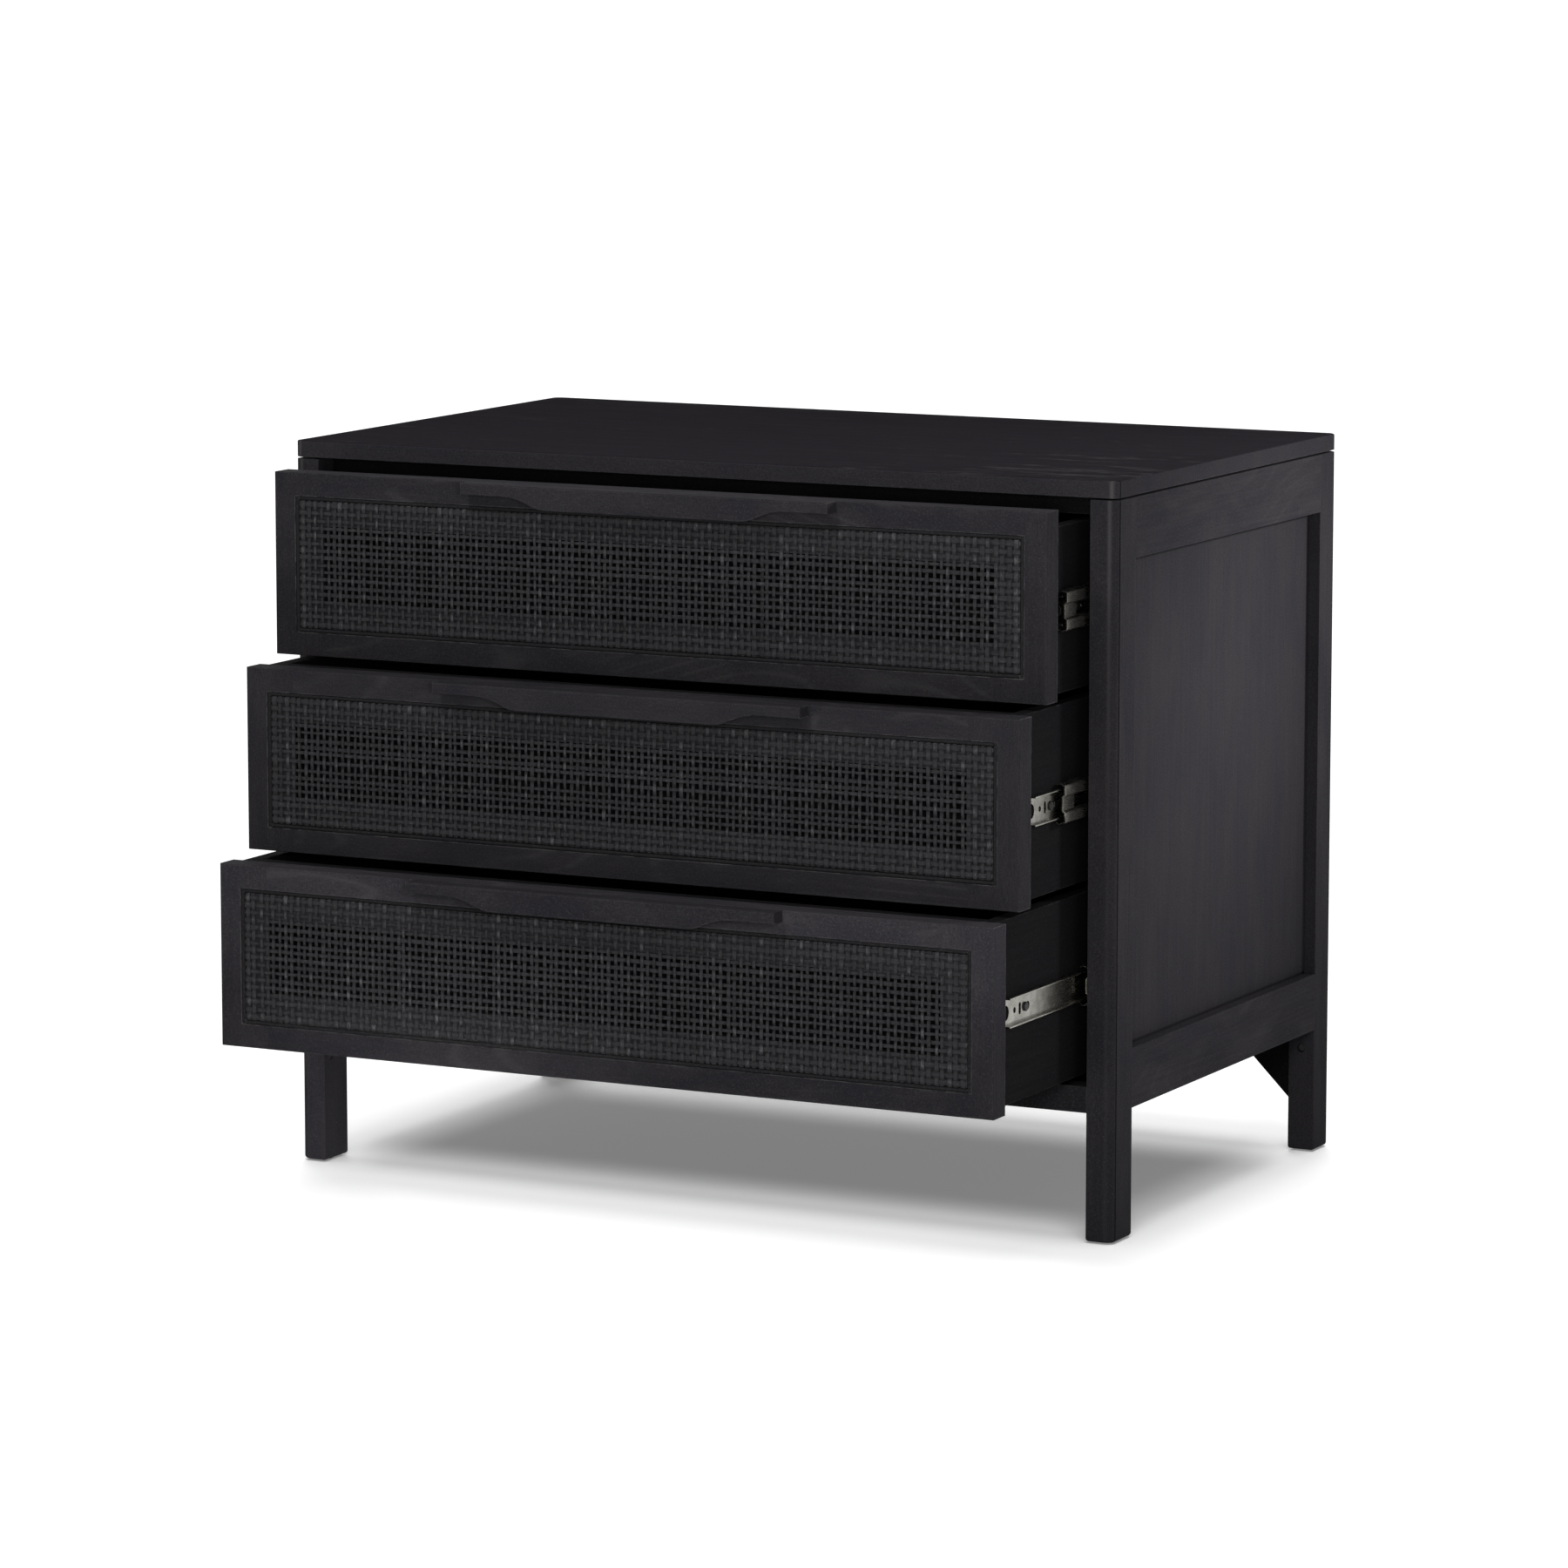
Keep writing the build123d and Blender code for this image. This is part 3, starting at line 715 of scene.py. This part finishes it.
@dataclass(frozen=True)
class SmallPart:
    """A fine-grained finish of a small part, such as blackened steel, polished balls or moulded plastic."""

    name: str
    colour: Colour
    metallic: float
    roughness: float
    speck: Pattern = Pattern(1800.0, detail=3.0, rough=0.6)
    dark_share: float = 0.7
    rough_swing: float = 0.05
    relief_depth: float = 0.00003
    relief_share: float = 0.3
    ease: float = 0.0003

    def material(self) -> bpy.types.Material:
        """Build the material.

        Returns:
            The finished material.
        """
        bench = NodeBench(bpy.data.materials.new(self.name))
        speck = bench.noise(bench.place(), self.speck)
        darker = tuple(channel * self.dark_share for channel in self.colour)
        eased = bench.eased_normal(self.ease)
        bench.surface(
            Base_Color=bench.blend(speck, darker, self.colour),
            Metallic=self.metallic,
            Roughness=bench.varied(speck, self.roughness, self.rough_swing),
            Normal=bench.relief(speck, self.relief_depth, self.relief_share, eased),
        )
        return bench.owner


class Wardrobe:
    """All the finishes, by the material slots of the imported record."""

    stile_width: float = 0.048
    joint_clear: float = 0.004
    cane_edge: float = 0.0252
    # painted shade on the wood behind the cane
    seat_shade_share: float = 0.3
    seat_fade: float = 0.001
    # Painted light and shade on each drawer front: its tone along its lower and its upper rail, from the
    # floor up
    front_light_tones: dict[str, Span] = {"bottom": (0.9, 1.42), "middle": (0.88, 1.0), "top": (0.78, 1.0)}
    tone_scale: float = 2.0
    # The darker colours of what lies inside the case
    inside: dict[str, object] = {
        "colour": (0.0130, 0.0121, 0.0128),
        "cool": (0.0102, 0.0097, 0.0110),
        "pale": (0.030, 0.028, 0.030),
        "wear": 0.25,
    }
    # How far in from the right front post's outer corner its painted highlight lines, its painted groove
    # shade and the top's scuffs lie
    corner_depth: float = 0.004
    groove_in: float = 0.0018
    groove_back: float = 0.0066
    top_highlight_in: float = 0.0055
    post_highlight_in: float = 0.0072
    scuffs_in: float = 0.06
    scuffs_back: float = 0.03

    def __init__(self) -> None:
        """Build each finish once."""
        finishes = {**self.case_finishes(), **self.drawer_finishes(), **self.metal_finishes()}
        self.materials = {slot: finish.material() for slot, finish in finishes.items()}

    def case_finishes(self) -> dict[str, BlackWash]:
        """The woods of the case.

        Returns:
            Finishes by slot.
        """
        low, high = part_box("post_front_right")
        corners = {
            "front_y": low.y + self.corner_depth,
            "groove_x": high.x - self.groove_in,
            "groove_y": -low.y - self.groove_back,
        }
        return {
            "top_wood": BlackWash(
                "top_wood",
                Along.X,
                colour=(0.0485, 0.0447, 0.0495),
                cool=(0.0415, 0.0391, 0.0462),
                # painted shade: the top's faces that look up are darker
                shaded_up_colour=(0.0245, 0.0210, 0.0265),
                scuffs=Scuffs((high.x - self.scuffs_in, low.y + self.scuffs_back, high.z)),
                corner=Corner(high.x - self.top_highlight_in, 0.35, **corners),
                gloss=0.0006,
                wear=0.5,
            ),
            "post_wood": BlackWash(
                "post_wood", Along.Z, wear=0.15, corner=Corner(high.x - self.post_highlight_in, 0.26, **corners)
            ),
            "side_rail_wood": BlackWash("side_rail_wood", Along.Y, wear=0.08, figure=0.12),
            "side_panel_wood": BlackWash(
                "side_panel_wood",
                Along.Z,
                colour=(0.0418, 0.0387, 0.0425),
                cool=(0.0347, 0.0328, 0.0389),
                wear=0.08,
                # painted shade along the crease where the panel meets the bottom rail
                crease_z=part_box("side_bottom_rails")[1].z,
            ),
            "cross_rail_wood": BlackWash(
                "cross_rail_wood",
                Along.X,
                # darker colour: painted shade on the bottom rails under the drawers
                colour=(0.027, 0.0252, 0.0275),
                cool=(0.023, 0.0218, 0.0255),
                wear=0.3,
            ),
            "back_panel_wood": BlackWash("back_panel_wood", Along.Z, wear=0.2),
            "inner_wood": BlackWash("inner_wood", Along.X, **self.inside),
        }

    def drawer_finishes(self) -> dict[str, Union[BlackWash, CaneFibre]]:
        """The woods and the cane of the drawers.

        Returns:
            Finishes by slot.
        """
        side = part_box("top_drawer_front_stiles")[1].x
        joint = side - self.stile_width
        fronts = {
            "flecks": 0.3,
            "shading_bands": self.painted_front_shading(),
            "shading_scale": self.tone_scale,
            "seat_shade": self.seat_shade_bands(),
            "seat_from": side - self.cane_edge,
        }
        return {
            "front_stile_wood": BlackWash(
                "front_stile_wood", Along.Z, wear=0.9, free_from=joint + self.joint_clear, **fronts
            ),
            "front_rail_wood": BlackWash(
                "front_rail_wood", Along.X, figure=0.3, free_to=joint - self.joint_clear, **fronts
            ),
            "pull_wood": BlackWash("pull_wood", Along.X, flecks=0.5, wear=0.9, rub_width=0.0026),
            "box_wood_across": BlackWash("box_wood_across", Along.X, **self.inside),
            "box_wood_deep": BlackWash("box_wood_deep", Along.Y, **self.inside),
            "box_bottom": BlackWash("box_bottom", Along.X, **self.inside),
            "cane": CaneFibre(),
            "cane_spline": BlackWash(
                "cane_spline",
                Along.X,
                colour=(0.029, 0.0275, 0.0290),
                cool=(0.024, 0.0235, 0.0260),
                wear=0.9,
                ease=0.0003,
                rub_width=0.0012,
            ),
        }

    def metal_finishes(self) -> dict[str, Union[ZincSheet, SmallPart]]:
        """The slides, the screws and the glides.

        Returns:
            Finishes by slot.
        """
        return {
            "slide_zinc": ZincSheet("slide_zinc"),
            "ball_steel": SmallPart("ball_steel", (0.62, 0.61, 0.58), metallic=1.0, roughness=0.2),
            "screw_black": SmallPart("screw_black", (0.014, 0.014, 0.0145), metallic=0.6, roughness=0.42),
            "glide_plastic": SmallPart("glide_plastic", (0.03, 0.03, 0.03), metallic=0.0, roughness=0.6),
        }

    def painted_front_shading(self) -> Stops:
        """Painted light and shade on the drawer fronts: darker along the lower rails, paler on the lowest
        front.

        Returns:
            Pairs of a height and a tone that is divided by the tone scale, from the floor up.
        """
        shading_bands = []
        for drawer, (low_tone, high_tone) in self.front_light_tones.items():
            low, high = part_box(f"{drawer}_drawer_front_stiles")
            shading_bands += [(low.z, low_tone), (low.z + self.stile_width, low_tone)]
            shading_bands += [(high.z - self.stile_width, high_tone), (high.z, high_tone)]
        return tuple((height, tone / self.tone_scale) for height, tone in shading_bands)

    def seat_shade_bands(self) -> Stops:
        """Painted shade where the drawer fronts lie behind the cane.

        Returns:
            Pairs of a height and the share of the painted shade colour there, from the floor up.
        """
        shading_bands = []
        for drawer in self.front_light_tones:
            low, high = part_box(f"{drawer}_drawer_front_stiles")
            first, last = low.z + self.cane_edge, high.z - self.cane_edge
            shading_bands += [(first, 0.0), (first + self.seat_fade, self.seat_shade_share)]
            shading_bands += [(last - self.seat_fade, self.seat_shade_share), (last, 0.0)]
        return tuple(shading_bands)

    def dress(self, node: str, slot: str) -> None:
        """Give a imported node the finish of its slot.

        Args:
            node: The node's name.
            slot: The slot's name.
        """
        mesh = frame["nodes"][node]
        if not mesh.material_slots:
            mesh.data.materials.append(None)
        for place in mesh.material_slots:
            place.material = self.materials[slot]

    def dress_piece(self, piece: bpy.types.Object, slot: str) -> None:
        """Give a new piece the finish of a slot."""
        piece.data.materials.append(self.materials[slot])


@dataclass
class Weave:
    """A plain weave of cane strands that fills the place of one packed cane panel."""

    low: Vector
    high: Vector
    seed: int
    pitch_across: float = 0.00634
    pitch_up: float = 0.0066
    scatter: float = 0.075
    drift: float = 0.06
    drift_turns: Span = (2.0, 5.0)
    # Strands: an oval, wider in the close border, which narrows towards the left
    strand_width: float = 0.0031
    strand_thickness: float = 0.00046
    width_scatter: float = 0.1
    pinch: float = 0.05
    pinch_every: float = 0.045
    swelling: float = 0.38
    frame_width: float = 0.026
    narrowing: float = 0.5
    taper: float = 0.01
    sides: int = 10
    # Their route
    proud: float = 0.0003
    edge_slot: float = 0.0008
    bend: float = 0.0009
    bend_points: int = 4
    tuck: float = 0.003
    fade: float = 0.003
    firmness: float = 1.6
    steps: int = 4
    wander_lengths: Span = (0.11, 0.061, 0.037)
    wander: float = 0.0011
    # Their shade, from 0 for dark to 1 for pale: a random tone per strand, with painted highlights on the
    # crowns and near the top ends, and painted shade in the dips and along the edges
    tone: float = 0.46
    tone_scatter: float = 0.08
    dip_shade: float = 0.3
    crown_highlight: float = 0.13
    crown_scatter: float = 0.11
    dull_crown: float = 0.35
    lying_crown: float = 0.3
    border_crown: float = 0.07
    end_highlight: float = 0.5
    open_tone: float = 1.04
    border_loss: float = 0.12
    edge_shade: float = 0.5

    def places(self, rng: np.random.Generator, low: float, high: float, pitch: float) -> np.ndarray:
        """Middle lines of the strands: even steps of the pitch, each moved a little and drifting slowly.

        Args:
            rng: The source of chance.
            low: Where the weave starts.
            high: Where the weave ends.
            pitch: Distance between strands.

        Returns:
            One place for each strand.
        """
        count = round((high - low) / pitch)
        even = low + (np.arange(count) + 0.5) * (high - low) / count
        turns = np.linspace(0, rng.uniform(*self.drift_turns) * pi, count)
        drift = np.sin(turns + rng.uniform(0, pi)) * self.drift
        return even + (rng.normal(0, self.scatter, count) + drift) * pitch

    def route(self, low: float, high: float, pitch: float) -> tuple[np.ndarray, np.ndarray]:
        """A strand's run and depth: out of the groove, a quarter turn, along the face, a quarter turn, down.

        Args:
            low: The groove's middle at the start.
            high: The groove's middle at the end.
            pitch: Distance between the strands that are crossed.

        Returns:
            The place along the face and the depth behind the weave's middle, for each point.
        """
        turn = np.linspace(0, pi / 2, self.bend_points)
        arc_run = self.bend * (1 - np.cos(turn))
        arc_depth = self.bend * (1 - np.sin(turn))
        count = round((high - low) / pitch * self.steps)
        flat = np.linspace(low + self.bend, high - self.bend, count)[1:-1]
        run = np.concatenate([[low], low + arc_run, flat, high - arc_run[::-1], [high]])
        level = np.zeros(len(flat))
        depth = np.concatenate([[self.tuck], arc_depth, level, arc_depth[::-1], [self.tuck]])
        return run, depth

    def border(self, own: np.ndarray, run: np.ndarray, upright: bool) -> np.ndarray:
        """How far each point lies in the close border, where the weave is laid on the frame.

        Args:
            own: The strands' places.
            run: The places along a strand.
            upright: Whether the strands stand.

        Returns:
            1 in the border and 0 in the open field, for each strand and place.
        """
        other = 0 if upright else 2
        inward = np.minimum(own - self.low[other], self.high[other] - own)[:, None]
        inward = np.minimum(inward, np.minimum(run - run[0], run[-1] - run)[None, :])
        across = own[:, None] if upright else run[None, :]
        leftward = (self.high.x - across) / (self.high.x - self.low.x)
        reach = self.frame_width * (1 - self.narrowing * leftward)
        return np.clip((reach - inward) / self.taper, 0, 1)

    def strands(self, wave: Wave) -> tuple[np.ndarray, list, np.ndarray]:
        """The surface of all the strands of one set.

        A strand is an oval carried along its route. It rises and falls by a flattened cosine whose phase
        grows by half a turn from one crossed strand to the next, and neighbours start half a turn apart.

        Args:
            wave: Upright strands (warp) or lying ones (weft).

        Returns:
            Points, faces and, for each point, its place along and across the strand and its shade.
        """
        rng = np.random.default_rng(self.seed)
        slot = self.edge_slot
        warp_at = self.places(rng, self.low.x + slot, self.high.x - slot, self.pitch_across)
        weft_at = self.places(rng, self.low.z + slot, self.high.z - slot, self.pitch_up)
        upright = wave is Wave.WARP
        own, crossed = (warp_at, weft_at) if upright else (weft_at, warp_at)
        pitch = self.pitch_up if upright else self.pitch_across
        axis = 2 if upright else 0
        run, depth = self.route(self.low[axis] + slot / 2, self.high[axis] - slot / 2, pitch)

        ends = np.concatenate([[2 * crossed[0] - crossed[1]], crossed, [2 * crossed[-1] - crossed[-2]]])
        phase = np.interp(run, ends, np.arange(-1, len(crossed) + 1) * pi)
        order = np.arange(len(own))[:, None]
        swing = np.tanh(self.firmness * np.cos(phase[None, :] + order * pi)) / np.tanh(self.firmness)
        near_end = np.minimum(run - run[0], run[-1] - run) / self.fade
        over = wave.value * swing * np.clip(near_end, 0, 1)

        lengths = np.array(self.wander_lengths)[:, None, None]
        knots = rng.uniform(0, 2 * pi, (len(lengths), len(own), 1))
        wander = (np.sin(run[None, None, :] * 2 * pi / lengths + knots) * lengths).sum(0) * self.wander
        border = self.border(own, run, upright)
        width = self.strand_width * rng.normal(1.0, self.width_scatter, len(own))[:, None]
        width = width * (1 + self.pinch * np.sin(run[None, :] * 2 * pi / self.pinch_every + knots[0]))
        width = width * (1 + self.swelling * border)
        crown_highlight = rng.normal(self.crown_highlight, self.crown_scatter, (len(own), len(ends)))
        crown_highlight = np.clip(crown_highlight, 0, 1)[:, np.rint(phase / pi).astype(int) + 1]
        crown_highlight[1 if upright else 0 :: 2] *= self.dull_crown
        crown_highlight = (crown_highlight + self.border_crown * border) * np.clip(over, 0, 1)
        tone = rng.normal(self.tone, self.tone_scatter, len(own))[:, None]
        pale = rng.uniform(0.0, self.end_highlight, len(own))[:, None]
        # painted shade in the dips, painted highlights on the crowns and at the top ends
        shade = tone * (1 - self.dip_shade + self.dip_shade * over)
        shade = shade + crown_highlight * (1.0 if upright else self.lying_crown)
        shade = shade + pale * np.exp((run - run[-1]) / self.fade)
        shade = shade * (self.open_tone - self.border_loss * border)

        middle = self.low.y + self.strand_thickness - self.proud
        path = np.empty((len(own), len(run), 3))
        path[..., axis] = run
        path[..., 2 - axis] = own[:, None] + wander
        path[..., 1] = middle + depth - over * self.strand_thickness / 2
        side = np.array([1.0, 0.0, 0.0] if upright else [0.0, 0.0, -1.0])
        return self.carried(path, side, width, shade, run)

    def carried(
        self, path: np.ndarray, side: np.ndarray, width: np.ndarray, shade: np.ndarray, run: np.ndarray
    ) -> tuple[np.ndarray, list, np.ndarray]:
        """A flat oval profile carried along many paths at once.

        The oval's two coordinates are the square roots of a cosine and a sine. At each path point it lies
        in the plane of the side direction and of the normal, which is the side crossed with the path's
        tangent. The ends are closed by one face each.

        Args:
            path: Points of each path.
            side: The direction of the oval's long axis.
            width: The oval's width at each path point.
            shade: How pale each path point is; the oval's edges get painted shade, darker than its middle.
            run: The distance along the path.

        Returns:
            Points, faces and the fibre vector of each point.
        """
        turn = np.arange(self.sides) * 2 * pi / self.sides
        across = np.sign(np.cos(turn)) * np.sqrt(np.abs(np.cos(turn))) / 2
        out = np.sign(np.sin(turn)) * np.sqrt(np.abs(np.sin(turn))) / 2 * self.strand_thickness
        tangent = np.gradient(path, axis=1)
        normal = np.cross(side, tangent)
        normal /= np.linalg.norm(normal, axis=-1, keepdims=True)
        points = (
            path[:, :, None, :]
            + (width[:, :, None] * across)[..., None] * side
            + normal[:, :, None, :] * out[:, None]
        )
        count, rings, sides = points.shape[:3]
        index = np.arange(count * rings * sides).reshape(count, rings, sides)
        following = np.roll(index, -1, axis=2)
        quads = np.stack([index[:, :-1], index[:, 1:], following[:, 1:], following[:, :-1]], axis=-1)
        caps = np.concatenate([index[:, 0], index[:, -1, ::-1]])
        faces = quads.reshape(-1, 4).tolist() + caps.tolist()
        fibre = np.empty((count, rings, sides, 3))
        fibre[..., 0] = run[None, :, None] + np.arange(count)[:, None, None]
        fibre[..., 1] = width[:, :, None] * across
        fibre[..., 2] = shade[:, :, None] * (1 - self.edge_shade * (2 * across) ** 4)
        return points.reshape(-1, 3), faces, fibre.reshape(-1, 3)

    def piece(self, name: str, wave: Wave) -> bpy.types.Object:
        """One set of strands as a piece.

        Args:
            name: The piece's name.
            wave: Which set.

        Returns:
            The piece, with its place in its mesh.
        """
        points, faces, fibre = self.strands(wave)
        mesh = bpy.data.meshes.new(name)
        mesh.from_pydata(points, [], faces)
        mesh.polygons.foreach_set("use_smooth", np.ones(len(mesh.polygons), bool))
        stored = mesh.attributes.new("fibre", "FLOAT_VECTOR", "POINT")
        stored.data.foreach_set("vector", fibre.astype(np.float32).ravel())
        mesh.update()
        piece = bpy.data.objects.new(name, mesh)
        bpy.context.scene.collection.objects.link(piece)
        return piece


@dataclass
class Drawer:
    """One drawer's cane front, woven in place of its packed cane panel."""

    name: str
    wardrobe: Wardrobe
    seed: int
    weave: Weave = field(init=False)

    def __post_init__(self) -> None:
        """Take the weave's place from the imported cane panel."""
        low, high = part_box(f"{self.name}_cane_panel")
        self.weave = Weave(low, high, self.seed)

    def build(self) -> list[bpy.types.Object]:
        """Weave the cane front.

        Returns:
            The new pieces.
        """
        pieces = []
        for wave in Wave:
            piece = self.weave.piece(f"{self.name}_cane_{wave.name.lower()}", wave)
            self.wardrobe.dress_piece(piece, "cane")
            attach(piece, self.name)
            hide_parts(f"{self.name}_cane_panel")
            pieces.append(piece)
        return pieces


@dataclass(frozen=True)
class Softbox:
    """A square soft lamp with a grid in front that narrows its light: width in metres, power in watts."""

    name: str
    place: Point
    aim: Point
    width: float
    power: float
    spread: float = 180.0
    in_gloss: bool = True

    def lamp(self) -> bpy.types.Object:
        """Set up the lamp.

        Returns:
            The lamp.
        """
        data = bpy.data.lights.new(self.name, "AREA")
        data.shape = "SQUARE"
        data.size = self.width
        data.energy = self.power
        data.spread = radians(self.spread)
        lamp = bpy.data.objects.new(self.name, data)
        lamp.location = self.place
        lamp.rotation_euler = (Vector(self.aim) - Vector(self.place)).to_track_quat("-Z", "Y").to_euler()
        lamp.visible_glossy = self.in_gloss
        bpy.context.scene.collection.objects.link(lamp)
        return lamp


@dataclass
class Studio:
    """White floor, soft lamps and the camera at the photograph's place."""

    look_at: Point = (-0.03506, 0.0, 0.34102)
    azimuth: float = 26.95
    elevation: float = 8.43
    distance: float = 6.1667
    lens: float = 154.46
    sensor: float = 36.0
    clip_end: float = 180.0
    ambient: float = 0.12
    floor_half: float = 60.0
    floor_fill: Colour = (0.4, 0.4, 0.4)
    floor_seen: Colour = (0.95, 0.95, 0.95)
    floor_light: float = 0.2
    sky_width: float = 28.0
    sky_tilt: float = 38.0
    drawer_shadow: float = 0.08
    softboxes: tuple[Softbox, ...] = (
        Softbox("side_softbox", (1.47, 0.8, 1.0), (0.37, -0.01, 0.46), 0.2, 0.82, 32.0, in_gloss=False),
        Softbox("high_softbox", (-0.25, -1.75, 2.6), (0.0, -0.3, 0.4), 0.4, 20.0),
        Softbox("front_softbox", (1.05, -1.85, 0.8), (0.1, -0.35, 0.4), 0.5, 8.8),
        Softbox("low_softbox", (0.9, -1.9, 0.12), (-0.33, -0.2, 0.03), 0.15, 0.16, 14.0),
    )

    def camera(self) -> None:
        """Set up the camera on its sphere round the point that it looks at."""
        data = bpy.data.cameras.new("camera")
        data.lens = self.lens
        data.sensor_width = self.sensor
        data.clip_end = self.clip_end
        camera = bpy.data.objects.new("camera", data)
        turn, rise = radians(self.azimuth), radians(self.elevation)
        back = Vector((sin(turn) * cos(rise), -cos(turn) * cos(rise), sin(rise)))
        camera.location = Vector(self.look_at) + back * self.distance
        camera.rotation_euler = (-back).to_track_quat("-Z", "Y").to_euler()
        bpy.context.scene.collection.objects.link(camera)
        bpy.context.scene.camera = camera

    def world(self) -> None:
        """White where it is seen, and a dim even fill elsewhere."""
        bench = NodeBench(bpy.data.worlds.new("studio"))
        bpy.context.scene.world = bench.owner
        background = bench.tree.nodes["Background"].inputs
        bench.feed(background["Color"], WHITE)
        bench.feed(background["Strength"], bench.ramp(bench.seen(), 0.0, 1.0, self.ambient, 1.0))

    def floor(self) -> bpy.types.Object:
        """A plain white floor that keeps its shadow where it is seen and throws little light back.

        Returns:
            The floor.
        """
        reach = np.array([-self.floor_half, self.floor_half])
        x, y = np.meshgrid(reach, reach)
        points = np.stack([x, y, np.zeros_like(x)], axis=-1).reshape(-1, 3)
        mesh = bpy.data.meshes.new("floor")
        mesh.from_pydata(points, [], [(0, 1, 3, 2)])
        floor = bpy.data.objects.new("floor", mesh)
        bpy.context.scene.collection.objects.link(floor)
        bench = NodeBench(bpy.data.materials.new("floor_white"))
        seen = bench.seen()
        bench.surface(
            Base_Color=bench.blend(seen, self.floor_fill, self.floor_seen),
            Roughness=1.0,
            Specular_IOR_Level=0.0,
            Emission_Color=WHITE,
            Emission_Strength=bench.product(seen, self.floor_light),
        )
        mesh.materials.append(bench.owner)
        return floor

    def sky(self, name: str, share: float, tilt: float) -> bpy.types.Object:
        """One part of a strip of soft light above, which gives the floor its white and its shadow.

        Args:
            name: The lamp's name.
            share: Its share of the light that makes the floor white.
            tilt: How far it leans from straight above towards the camera, in degrees.

        Returns:
            The lamp.
        """
        data = bpy.data.lights.new(name, "SUN")
        data.energy = pi * share / cos(radians(tilt))
        data.angle = radians(self.sky_width)
        lamp = bpy.data.objects.new(name, data)
        lamp.rotation_euler = (radians(tilt), 0.0, radians(self.azimuth))
        bpy.context.scene.collection.objects.link(lamp)
        return lamp

    def stopped_by_base(self, lamp: bpy.types.Object) -> None:
        """Let only the case's base throw a shadow from a lamp, so that it lies close round the legs.

        Args:
            lamp: The lamp.
        """
        group = bpy.data.collections.new("case_base")
        rails = ("front_bottom_rail", "back_bottom_rail", "side_bottom_rails", "case_bottom")
        posts = ("post_front_left", "post_front_right", "post_back_left", "post_back_right")
        for node in rails + posts:
            group.objects.link(frame["nodes"][node])
        lamp.light_linking.blocker_collection = group

    def share(
        self, floor: bpy.types.Object, skies: list[bpy.types.Object], softboxes: list[bpy.types.Object]
    ) -> None:
        """Let the skies light the floor alone, and the softboxes everything but the floor.

        Args:
            floor: The floor.
            skies: The lamps that make it white.
            softboxes: The lamps on the object.
        """
        for lamps, state in ((skies, "INCLUDE"), (softboxes, "EXCLUDE")):
            group = bpy.data.collections.new(f"floor_{state.lower()}d")
            group.objects.link(floor)
            group.collection_objects[0].light_linking.link_state = state
            for lamp in lamps:
                lamp.light_linking.receiver_collection = group

    def build(self) -> None:
        """Set up everything round the object."""
        bpy.context.scene.view_settings.view_transform = "Standard"
        self.camera()
        self.world()
        softboxes = [softbox.lamp() for softbox in self.softboxes]
        skies = [self.sky("whole_sky", self.drawer_shadow, 0.0)]
        tilts = {"near_sky": self.sky_tilt, "high_sky": 0.0, "far_sky": -self.sky_tilt}
        for name, tilt in tilts.items():
            skies.append(self.sky(name, (1.0 - self.drawer_shadow) / len(tilts), tilt))
            self.stopped_by_base(skies[-1])
        self.share(self.floor(), skies, softboxes)


def main() -> None:
    """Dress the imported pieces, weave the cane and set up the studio."""
    logging.basicConfig(level=logging.INFO, format="%(name)s: %(message)s")
    wardrobe = Wardrobe()
    for part in frame["record"]["subparts"]:
        wardrobe.dress(part["node"], part["material_slot"])
        log.info("dressed %s in %s", part["node"], part["material_slot"])
    for seed, name in enumerate(("top_drawer", "middle_drawer", "bottom_drawer")):
        for piece in Drawer(name, wardrobe, seed).build():
            log.info("made %s with %d faces", piece.name, len(piece.data.polygons))
    Studio().build()


if __name__ == "__main__":
    main()
